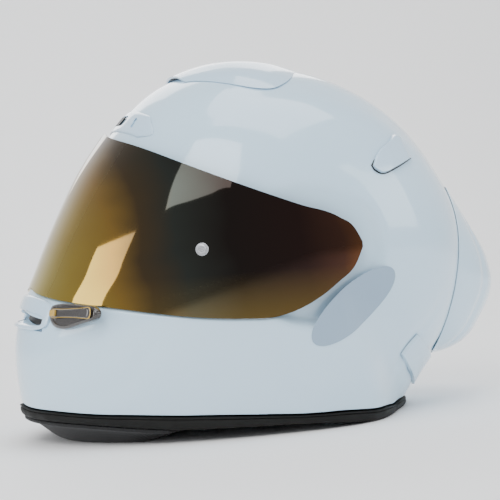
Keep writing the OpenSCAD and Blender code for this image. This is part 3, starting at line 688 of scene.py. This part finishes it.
post_at = visor_at(56, 2.9)
along_b, along_e = visor_at(57, 2.9) - visor_at(55, 2.9), visor_at(56, 3.9) - visor_at(56, 1.9)
post_dir = along_b.cross(along_e).normalized()
for s, word in ((1, "left"), (-1, "right")):
    flip = Vector((s, 1, 1))
    at, ax = post_at * flip, Vector(post_dir) * flip
    post = turned_piece("tear_off_pin_" + word, at, ax, [
        (4.1, .15), (4.4, .3), (4.4, 1.05), (4.2, 1.3), (3.0, 1.38), (2.3, 1.5), (2.2, 2.2), (2.6, 2.5),
        (2.6, 3.0), (2.35, 3.2), (1.3, 3.2), (1.1, 2.9), (.2, 2.9)])
    put(post, "visor", "steel", STEEL, "tear_off_post_" + word)

# rubber gasket round the eye port: lip, groove and foot
half = finer([0, 6, 12, 18, 24, 30, 36, 42, 48, 53, 57, 60], 3)
path = [(-b, port_low(b)) for b in half[:0:-1]] + [(b, port_low(b)) for b in half]
path += [(PORT_END, -4 + 13 * f) for f in steps(0, 1, 6)]
path += [(b, port_top(b)) for b in half[::-1]] + [(-b, port_top(b)) for b in half[1:]]
path += [(-PORT_END, 9 - 13 * f) for f in steps(0, 1, 6)]
spots = [plain_at(*q) for q in path]
rings = []
for k, p in enumerate(spots):
    run = (spots[(k + 1) % len(spots)] - spots[k - 1]).normalized()
    out = (p - Vector((0, PIVOT_Y + 10, PIVOT_Z))).normalized()
    inn = out.cross(run).normalized()
    lift = run.cross(inn).normalized()
    rings.append([p + i * inn + u * lift for i, u in (
        (.5, -5), (2.6, -5), (3.4, -4.2), (3.4, -2), (2.6, -1.3), (2.6, -.5), (3.4, .2), (3.1, .8),
        (1.8, .95), (.5, .7))])
put(band("port_gasket", rings, 50), "helmet", "rubber", RUBBER, "eyeport_seal")

# ------------------------------------------------------------------ vents
BROW_A = [(0, 40.8), (1, 48.6)]
BROW_T = [(0, 23), (.3, 28), (1, 21)]


def brow_kept(i, j):
    u, v = (i + .5) / 40, 2 * (j + .5) / 160 - 1
    hole = ((abs(v) - .5625) / .055) ** 2 + ((u - .5) / .22) ** 2 < 1
    slot_ = (abs(v) / .245) ** 6 + ((u - .5) / .245) ** 6 < 1
    return not (hole or slot_)


def brow_high(u, v):
    edge = min(1, 6 * u, 6 * (1 - u), 9 * (1 - abs(v)))
    return .3 + .8 * (max(edge, 0) * (2 - max(edge, 0))) ** .5


cover = skin("brow_vent", net(BROW_A, BROW_T, brow_high, 40, 160),
             net(BROW_A, BROW_T, lambda u, v: .28, 40, 160), kept=brow_kept)
put(cover, "helmet", "gloss_white", VENT_WHITE, "brow_vent_cover")

TOP_A = [(0, 64.5), (1, 101)]
TOP_T = [(0, 15), (.22, 27), (.45, 34), (.7, 33), (.9, 23), (1, 12)]
TOP_RISE = [(0, 3.4), (.18, 4.2), (.38, 4.7), (.6, 4.1), (.85, 2.2), (1, .7)]


def top_high(u, v):
    h = along(TOP_RISE, u)
    # two long ribs beside a shallow valley
    rib = .5 * exp(-((abs(v) - .42) / .1) ** 2) * ramp(u, .05, .25) * (1 - ramp(u, .7, .95))
    return .6 + (h - .6) * (1 - abs(v) ** 3.5) + rib


def top_low(u, v):
    h = top_high(u, v)
    return .3 + max(0, h - 1.8) * (1 - ramp(u, .5, .75)) * (1 - ramp(abs(v), .55, .8))


top = skin("top_vent", net(TOP_A, TOP_T, top_high, 48, 72), net(TOP_A, TOP_T, top_low, 48, 72))
put(top, "helmet", "gloss_white", VENT_WHITE, "top_vent_cover")


def side_panel(lower, upper, under, high, edge=.4, n=28, rows=20):
    """Nets of a panel on one side, between two side-view edges given as (y, z)."""
    cy = [[(k / (len(T) - 1), q[c]) for k, q in enumerate(T)] for T in (lower, upper) for c in (0, 1)]

    def spot(f, v):
        return [(1 - v) * along(cy[c], f) + v * along(cy[c + 2], f) for c in (0, 1)]

    def crown_at(f, v):
        x = min(1, 5 * sin(pi * v)) * min(1, 5 * sin(pi * f))
        return edge + (high - edge) * sqrt(max(0, x * (2 - x)))

    def layer(height):
        return [[side_point(*spot(i / n, k / rows), under + height(i / n, k / rows)) for i in range(n + 1)]
                for k in range(rows + 1)]
    return layer(crown_at), layer(lambda f, v: 0)


tops, lows = side_panel([(60, 176), (62, 173), (68, 170.5), (80, 174), (97, 180)],
                        [(64, 182), (71, 188), (79, 192), (86, 197), (92, 196)], .4, 2.6)
put(skin("rear_vent_L", tops, lows), "helmet", "gloss_white", VENT_WHITE, "rear_vent_left")
put(skin("rear_vent_R", mirrored(tops), mirrored(lows)), "helmet", "gloss_white", VENT_WHITE,
    "rear_vent_right")
# painted shade: dark sheet along the front and lower edges of each rear vent, standing in for the shadow in
# the gap under it
tops, lows = side_panel([(58.8, 176.3), (61, 172.2), (67.7, 169.6), (80, 173.1), (96.4, 179.2)],
                        [(62, 180), (69, 184), (78, 188), (84, 191), (91, 192)], .05, .45, .1)
# painted shade, not a part: black sheets where the gap under each vent falls in shadow
put(skin("vent_painted_shade_L", tops, lows), "helmet", "black_plastic", BLACK)
put(skin("vent_painted_shade_R", mirrored(tops), mirrored(lows)), "helmet", "black_plastic", BLACK)


def frame_loop(width, height, mid, off, n=160):
    """Loop round the chin intake: half width as a bearing, half height as a rise."""
    out = []
    for k in range(n):
        c, v = cos(2 * pi * k / n), sin(2 * pi * k / n)
        x = (1 if c >= 0 else -1) * abs(c) ** .45 * (1 + .1 * v)
        z = (1 if v >= 0 else -1) * abs(v) ** .5
        out.append(skin_at(width * x, mid + height * z - .0062 * (width * x) ** 2, off))
    return out


loops = [frame_loop(*q) for q in (
    (15.9, 3.1, -8.9, .3), (15.9, 3.1, -8.9, 1.9), (15.6, 2.9, -8.9, 2.5), (15.2, 2.7, -8.95, 2.7),
    (14.2, 1.6, -9.8, 2.6), (13.9, 1.4, -9.9, 2.2), (13.7, 1.3, -9.95, 1.5), (13.6, 1.25, -9.95, .3))]
put(band("chin_intake_frame", [list(ring) for ring in zip(*loops)], 40), "helmet", "gloss_white",
    VENT_WHITE, "chin_vent_frame")
MOUTH_LOW, MOUTH_TOP = [(0, -12), (15.6, -13.9)], [(0, -7.8), (15.6, -9)]
mb = steps(-15.6, 15.6, 104)


def ribbed(b, e):
    return plain_at(b, e, -WALL - .9 - .35 * (.5 + .5 * cos(radians(e * 300))))


put(skin("intake_shutter", fan(MOUTH_LOW, MOUTH_TOP, mb, 40, ribbed),
         fan(MOUTH_LOW, MOUTH_TOP, mb, 40, lambda b, e: plain_at(b, e, -WALL - 2.7))),
    "chin_shutter", "black_plastic", BLACK, "chin_vent_shutter")

# ------------------------------------------------------------------ back of the shell
SPOILER_A = [(0, 165), (1, 217.5)]
SPOILER_T = [(0, 22), (.3, 31), (.6, 34), (.85, 29), (1, 18)]
SPOILER_RISE = [(0, .8), (.25, 12), (.42, 24), (.54, 29.5), (.72, 25), (.87, 18), (.95, 9), (1, 1.4)]


def spoiler_high(u, v):
    h = .8 + (along(SPOILER_RISE, u) - .8) * (1 - abs(v) ** 1.8)
    # a shallow fold along each side and a valley in the middle
    fold = -1.2 * exp(-((abs(v) - .62) / .05) ** 2) - .8 * exp(-(v / .16) ** 2)
    return h + fold * ramp(u, .12, .35) * (1 - ramp(u, .85, .97))


def spoiler_low(u, v):
    return max(.3, .3 + .8 * (.8 + (along(SPOILER_RISE, u) - .8) * (1 - abs(v) ** 1.8) - 3.5))


put(skin("spoiler", net(SPOILER_A, SPOILER_T, spoiler_high, 72, 80),
         net(SPOILER_A, SPOILER_T, spoiler_low, 72, 80)), "helmet", "gloss_white", WHITE, "rear_spoiler")


def panel_net(s, h):
    rows, cols = 24, 48

    def high(i, j):
        x = min(1, 6 * sin(pi * i / rows)) * min(1, 6 * sin(pi * j / cols))
        return .3 + (h - .3) * sqrt(max(0, x * (2 - x))) if h > .3 else h
    return [[skin_point(219 + 10 * i / rows, s * (14 + 29 * j / cols), high(i, j)) for j in range(cols + 1)]
            for i in range(rows + 1)]


for s, word in ((1, "left"), (-1, "right")):
    put(skin("back_panel_" + word, panel_net(s, 2.4), panel_net(s, .3)), "helmet", "gloss_white", WHITE,
        "rear_panel_" + word)


def patch(height):
    """Net of the oval patch on one side, at a height over the shell."""
    half_long, half_short, at_y, at_z, spin = 38, 14.5, 34.5, 82.5, radians(35)
    rows = []
    for i in range(61):
        x = cos(pi * (1 - i / 60))
        half_y = max(.3, half_short * sqrt(max(0, 1 - x * x)))
        row = []
        for k in range(-12, 13):
            u, v = half_long * x, half_y * k / 12
            y, z = at_y + u * cos(spin) - v * sin(spin), at_z + u * sin(spin) + v * cos(spin)
            row.append(side_point(y, z, height))
        rows.append(row)
    return rows


hi, lo = patch(.4), patch(.1)
put(skin("oval_patch_left", hi, lo), "helmet", "grey_blue", DECAL, "decal_left")
put(skin("oval_patch_right", mirrored(hi), mirrored(lo)), "helmet", "grey_blue", DECAL, "decal_right")

# ------------------------------------------------------------------ visor lock
lock_at = skin_point(-11.8, 34)
turn = atan2(lock_at[1] + 30, lock_at[0])
LEAN = radians(12)
# how far at_lock's zero stands off the shell
LOCK_OFF = 1.5


def at_lock(x, y, z):
    """A point of the lock: x out from the shell, y along it towards the back, z up."""
    x, z = (x + LOCK_OFF) * cos(LEAN) - z * sin(LEAN), (x + LOCK_OFF) * sin(LEAN) + z * cos(LEAN)
    return Vector((lock_at[0] + x * cos(turn) - y * sin(turn),
                   lock_at[1] + x * sin(turn) + y * cos(turn), lock_at[2] + z))


def spline(p, q, r, s, u):
    """Point at u between q and r on the smooth curve through four points."""
    return .5 * (2 * q + (r - p) * u + (2 * p - 5 * q + 4 * r - s) * u * u + (3 * q - p - 3 * r + s) * u ** 3)


def smooth_loop(C, n):
    """Closed smooth curve through the points, n pieces between each pair."""
    out = []
    for i in range(len(C)):
        four = [Vector(C[(i + k) % len(C)]) for k in (-1, 0, 1, 2)]
        out += [spline(*four, k / n) for k in range(n)]
    return out


def pillow(name, outline_pts, layers, place_at):
    """Plate with a rounded rim: layers lists (inset share, height)."""
    c = sum((Vector(q) for q in outline_pts), Vector((0, 0))) / len(outline_pts)
    n = len(outline_pts)
    verts, faces = [], []
    for inset, h in layers:
        for q in outline_pts:
            w = c + (Vector(q) - c) * (1 - inset)
            verts.append(place_at(h, w[0], w[1]))
    for i in range(len(layers) - 1):
        for k in range(n):
            q = (k + 1) % n
            faces.append((i * n + k, i * n + q, (i + 1) * n + q, (i + 1) * n + k))
    faces += [tuple(range(n))[::-1], tuple(range((len(layers) - 1) * n, len(layers) * n))]
    return clean(new_mesh(name, verts, faces, 40))


POD = [(-24, 4), (-21, 7), (-10, 8), (12, 6.6), (21, 5.4), (25, 1.5), (22, -3), (8, -6.5), (-7, -9.5),
       (-18, -8), (-23.5, -3)]
pod = pillow("lock_pod", smooth_loop(POD, 10), [
    (0.02, -.4), (0, 0), (0, 3.4), (.03, 4.3), (.09, 4.9), (.2, 5.2), (.24, 4.6), (.3, 4.5), (.7, 5.1),
    (.95, 5.2)], at_lock)
put(pod, "helmet", "dark_gloss", DARK, "lock_housing")
# latch: a long paddle with a thumb tab and a round hub
LATCH = [(-18, -1.4), (-18, 3.4), (-6, 3.6), (10, 4.0), (15, 4.3), (20, 4.2), (21.4, 1), (20, -2.2),
         (15, -2.2), (4, -1.6), (-8, -1.5)]
TAB = [(-18, -1), (-18, 3), (-15.6, 3.1), (-13, 3), (-13, -1), (-15.4, -1.1)]
latch = pillow("lock_latch", smooth_loop(LATCH, 8), [
    (.04, 5.9), (0, 6.2), (0, 7.3), (.05, 7.8), (.16, 8.1), (.24, 7.8), (.9, 7.9)], at_lock)
tab = pillow("lock_tab", smooth_loop(TAB, 6), [(0, 7.9), (0, 9), (.1, 9.5), (.3, 9.7), (.6, 9.6)], at_lock)
put(latch, "lock_lever", "dark_gloss", DARK, "lock_lever")
EDGE = [(q[0] * 1.02 + .02, (q[1] - 1) * 1.16 + 1) for q in LATCH]
put(pillow("lock_latch_edge", smooth_loop(EDGE, 8), [(.03, 6.4), (0, 6.6), (0, 7.0), (.03, 7.2)], at_lock),
    "lock_lever", "gold_plastic", GOLD)
put(tab, "lock_lever", "gold_plastic", GOLD)

# ------------------------------------------------------------------ foam liners
lround = [q if q <= 180 else q - 360 for q in steps(0, 357.5, 143)]
LINER_LOW = [(0, 40), (45, 31), (62, 17), (75, 6), (90, -5), (110, -9), (117, -17), (124, -25), (131, -28),
             (180, -29)]
liner_low = tabled(LINER_LOW)


def crown_fan(low, bearings, rows, spot):
    return [[spot(b, low(abs(b)) + (90 - low(abs(b))) * i / rows) for b in bearings]
            for i in range(rows + 1)]


def channelled(b, e):
    """Head side of the foam, with air channels that run front to back."""
    p = head_at(b, e)
    groove = sum(exp(-((p[0] - x) / 4) ** 2) for x in (-45, -15, 15, 45)) * ramp(e, 25, 45)
    return p + (p - Vector((0, PIVOT_Y, PIVOT_Z))).normalized() * 5 * groove


put(skin("shell_liner",
         crown_fan(liner_low, lround, 44,
                   lambda b, e: seated(plain_at(b, e, -WALL - LINER_GAP), SEAT_LINER_X)),
         crown_fan(liner_low, lround, 44, channelled), True, True), "helmet", "foam", FOAM, "impact_liner")


def front_off(b):
    return -WALL - 1.5 - 10.5 * (1 - ramp(abs(b), 18, 23))


cb = steps(-48, 48, 96)
CL_LOW, CL_TOP = [(0, -24), (29, -29), (48, -34)], [(0, -5.5), (32, -12), (48, -15)]
put(bevelled(skin("jaw_liner", fan(CL_LOW, CL_TOP, cb, 20, lambda b, e: plain_at(b, e, front_off(b))),
                  fan(CL_LOW, CL_TOP, cb, 20, lambda b, e: plain_at(b, e, -WALL - 22))), 1.5),
    "helmet", "foam", FOAM, "chin_liner")
gb = steps(-36, 36, 96)
BG_LOW, BG_TOP = [(0, -9), (36, -15)], [(0, 2), (36, -7)]


def guard(off):
    def spot(b, e):
        rib = .5 * (1 - abs(sin(radians(b * 15)))) ** 4
        return plain_at(b, e, off + rib)
    return spot


put(skin("breath_deflector", fan(BG_LOW, BG_TOP, gb, 20, guard(-WALL - 24.5)),
         fan(BG_LOW, BG_TOP, gb, 20, lambda b, e: plain_at(b, e, -WALL - 26.3))), "helmet", "rubber", RUBBER,
    "breath_guard")


# ------------------------------------------------------------------ padded pieces
def apply_all(o):
    dg = bpy.context.evaluated_depsgraph_get()
    me = bpy.data.meshes.new_from_object(o.evaluated_get(dg))
    o.modifiers.clear()
    o.data = me


def filled(o, voxel=4.5, pressure=4.0, cap=4.0, shrink=1.6):
    """Swells a closed form like stuffed cloth, no point further than cap from where it was, in mm."""
    m = o.modifiers.new("remesh", "REMESH")
    m.mode, m.voxel_size = "VOXEL", voxel * MM
    m = o.modifiers.new("smooth", "SMOOTH")
    m.factor, m.iterations = 0.5, 6
    apply_all(o)
    for v in o.data.vertices:
        v.co -= v.normal * shrink * MM
    start = [v.co.copy() for v in o.data.vertices]
    m = o.modifiers.new("cloth", "CLOTH")
    s = m.settings
    s.quality, s.mass = 4, 0.3
    s.tension_stiffness = s.compression_stiffness = 12
    s.shear_stiffness, s.bending_stiffness = 6, 0.6
    s.use_pressure, s.uniform_pressure_force = True, pressure
    s.effector_weights.gravity = 0
    m.point_cache.frame_start, m.point_cache.frame_end = 1, 20
    scene = bpy.context.scene
    for f in range(1, 21):
        scene.frame_set(f)
    dg = bpy.context.evaluated_depsgraph_get()
    moved = [v.co.copy() for v in o.evaluated_get(dg).data.vertices]
    o.modifiers.clear()
    scene.frame_set(1)
    for v, p, q in zip(o.data.vertices, start, moved):
        d = q - p
        if d.length > cap * MM:
            d = d.normalized() * cap * MM
        v.co = p + d
    m = o.modifiers.new("smooth", "SMOOTH")
    m.factor, m.iterations = 0.5, 2
    m = o.modifiers.new("subdivide", "SUBSURF")
    m.levels = m.render_levels = 1
    apply_all(o)
    return o


def channel(o, distance_of, depth=1.6, width=1.8):
    """Sewn seam: points pulled in where distance_of(point in mm) is small."""
    me = o.data
    moves = []
    for v in me.vertices:
        d = distance_of(v.co / MM)
        moves.append(v.normal * (-depth * MM * exp(-(d / width) ** 2)) if abs(d) < 4 * width else None)
    for v, mv in zip(me.vertices, moves):
        if mv is not None:
            v.co += mv
    me.update()
    me.shade_smooth()
    return o


def pad(name, outer, inner, node, seams, ring=False, crown=False, fill=0.6, **kw):
    o = skin(name, outer, inner, ring, crown, angle=None)
    filled(o, **kw)
    for seam in seams:
        channel(o, seam)
    put(o, "helmet", "liner_cloth", LINER, node)
    return o


CP_LOW = [(49, -33), (60, -39), (90, -40), (106, -38)]
CP_TOP = [(49, -16.5), (60, -12), (90, -10), (106, -12)]


def column_at(b, e, w, l):
    d = dir_of(b, e)
    return Vector((0, PIVOT_Y, PIVOT_Z)) + Vector(d) / hypot(d[0] / w, d[1] / l)


co = fan(CP_LOW, CP_TOP, steps(49, 106, 24), 14, lambda b, e: plain_at(b, e, -18))
ci = fan(CP_LOW, CP_TOP, steps(49, 106, 24), 14, lambda b, e: column_at(b, e, 60, 112))


def cheek_oval(p):
    """Distance from the oval seam, which is on the face side only."""
    return hypot((p[1] + 18) / 1.5, p[2] - 72) - 24 if abs(p[0]) < 72 else 99


cheek_seams = [lambda p: abs(p[0]) - 70, cheek_oval]
pad("cheek_pad_L", co, ci, "cheek_pad_left", cheek_seams)
pad("cheek_pad_R", mirrored(co), mirrored(ci), "cheek_pad_right", cheek_seams)
NR_LOW, NR_TOP = [(0, -49), (58, -46)], [(0, -35), (58, -35)]
pad("neck_roll_pad", fan(NR_LOW, NR_TOP, steps(-58, 58, 36), 10, lambda b, e: plain_at(180 + b, e, -5.5)),
    fan(NR_LOW, NR_TOP, steps(-58, 58, 36), 10, lambda b, e: column_at(180 + b, e, 72, 76)), "neck_roll",
    [lambda p: p[2] - 30, lambda p: abs(p[0]) - 40])
kround = [q if q <= 180 else q - 360 for q in steps(0, 354, 59)]
KLOW = tabled([(0, 44), (90, 36), (180, 34)])
pad("crown_pad_cloth", crown_fan(KLOW, kround, 18, lambda b, e: head_at(b, e, .8)),
    crown_fan(KLOW, kround, 18, lambda b, e: head_at(b, e, 8.8)), "crown_pad",
    [lambda p: abs(p[0]) - 22, lambda p: p[1] - 45, lambda p: p[1] + 20], True, True,
    voxel=4, cap=3, shrink=1.4)

# skirt under the chin
kb = steps(-42, 42, 84)


def curtain_spot(b, f, z):
    p = skin_at(b, rim_at(abs(b)), -1.6)
    return Vector((p[0] * f, PIVOT_Y + (p[1] - PIVOT_Y) * f, z))


def curtain_low(b, f):
    """Underside of the skirt: it slopes down from the trim at the front, and stays level at the sides."""
    return (trim_low(abs(b)) - 3) * (1 - (1 - ramp(abs(b), 28, 42)) * ramp(1 - f, 0, .15))


reach = finer([1, .96, .92, .88, .85, .76], 5)


def curtain_top(b, f):
    wrinkle = .25 * cos(b * 1.3) * ramp(.98 - f, 0, .05) * ramp(f, .76, .8)
    return curtain_low(b, f) + 2.4 + wrinkle


tops = [[curtain_spot(b, f, curtain_top(b, f)) for b in kb] for f in reach]
lows = [[curtain_spot(b, f, max(.02, curtain_low(b, f))) for b in kb] for f in reach]
curtain = skin("chin_skirt", lows, tops, angle=50)
put(bevelled(curtain, .7, 3, 40), "helmet", "curtain_cloth", CURTAIN, "chin_curtain")


# ------------------------------------------------------------------ chin strap
def webbing(name, path_pts, node, width=24.0, thick=2.2):
    P = smooth_path(path_pts, 8)
    rows = []
    for i, p in enumerate(P):
        d = (P[min(i + 1, len(P) - 1)] - P[max(i - 1, 0)]).normalized()
        nrm = Vector((d[2], 0, -d[0]))
        ring = []
        for x, z in ((-1, -.6), (-.97, -1), (-.4, -1), (0, -1.08), (.4, -1), (.97, -1), (1, -.6),
                     (1, .6), (.97, 1), (.4, 1), (0, 1.08), (-.4, 1), (-.97, 1), (-1, .6)):
            ring.append(p + Vector((0, x * width / 2, 0)) + nrm * z * thick / 2)
        rows.append(ring)
    m = len(rows[0])
    verts = [q for ring in rows for q in ring]
    faces = [(i * m + j, i * m + (j + 1) % m, (i + 1) * m + (j + 1) % m, (i + 1) * m + j)
             for i in range(len(rows) - 1) for j in range(m)]
    faces += [tuple(range(m)), tuple(range((len(rows) - 1) * m, len(rows) * m))[::-1]]
    o = clean(new_mesh(name, verts, faces, 45))
    return put(o, "helmet", "webbing", WEB, node)


def smooth_path(C, n):
    """Open smooth curve through the points, n pieces between each pair."""
    out = []
    for i in range(len(C) - 1):
        four = [Vector(C[min(max(i + k, 0), len(C) - 1)]) for k in (-1, 0, 1, 2)]
        out += [spline(*four, k / n) for k in range(n)]
    return out + [Vector(C[-1])]


def stitches(name, spots_xyz):
    """Short raised threads, each a small rounded bar along Y."""
    verts, faces = [], []
    for x, y, z in spots_xyz:
        n0 = len(verts)
        for f in (-1, -.5, 0, .5, 1):
            rad = .32 * sqrt(max(.12, 1 - f * f * .9))
            for k in range(6):
                w = 2 * pi * k / 6
                verts.append(Vector((x, y + f * 1.3, z + rad * sin(w) + .02)) + Vector((rad * cos(w), 0, 0)))
        for i in range(4):
            for k in range(6):
                one, two = n0 + i * 6, n0 + (i + 1) * 6
                faces.append((one + k, one + (k + 1) % 6, two + (k + 1) % 6, two + k))
        faces += [tuple(n0 + k for k in range(6))[::-1], tuple(n0 + 24 + k for k in range(6))]
    o = clean(new_mesh(name, verts, faces, 60))
    return put(o, "helmet", "webbing", THREAD)


THREAD = cloth("thread", (.22, .22, .23), (.12, .12, .13), 2500, .1, .3)


def strap_path(s, end):
    return [(s * x, 0, z) for x, z in ((103, 60), (103, 42), (103, 26), (100.6, 13), (93, 6), (82, 3.6),
                                       (70, 3.3), ((70 + end) / 2, 3.3), (end, 3.3))]


webbing("strap_web_L", strap_path(1, 38), "strap_left")
webbing("strap_web_R", strap_path(-1, -6), "strap_right")
SEWN_X = (60, 66, 72, -20, -30, -66, -72)
stitches("strap_stitches", [(x, y, 4.45) for x in SEWN_X for y in range(-10, 11, 4)])
snap = turned_piece("snap_stud", (-14, 0, 0), (0, 0, 1), [
    (7.1, 4.5), (7.5, 4.8), (7.5, 5.5), (7.1, 5.9), (5.2, 6.0), (4.6, 6.1), (4.5, 6.7), (4.1, 7.0),
    (2.4, 7.0), (2.0, 6.6), (.2, 6.6)])
put(snap, "helmet", "black_plastic", BLACK, "strap_snap")

# ------------------------------------------------------------------ CAD nodes that keep their shape
KEPT = {
    "visor_hub_left": BLACK, "visor_hub_right": BLACK, "base_plate_left": BLACK, "base_plate_right": BLACK,
    "plate_screws_left": STEEL, "plate_screws_right": STEEL, "brow_vent_slider": BLACK,
    "top_vent_slider": BLACK,
    "chin_vent_mesh": BLACK, "strap_rivet_left": STEEL, "strap_rivet_right": STEEL, "ring_keeper": WEB,
    "d_ring_inner": STEEL, "d_ring_outer": STEEL,
}
for node, mat in KEPT.items():
    o = NODES[node]
    o.data.materials.clear()
    o.data.materials.append(mat)
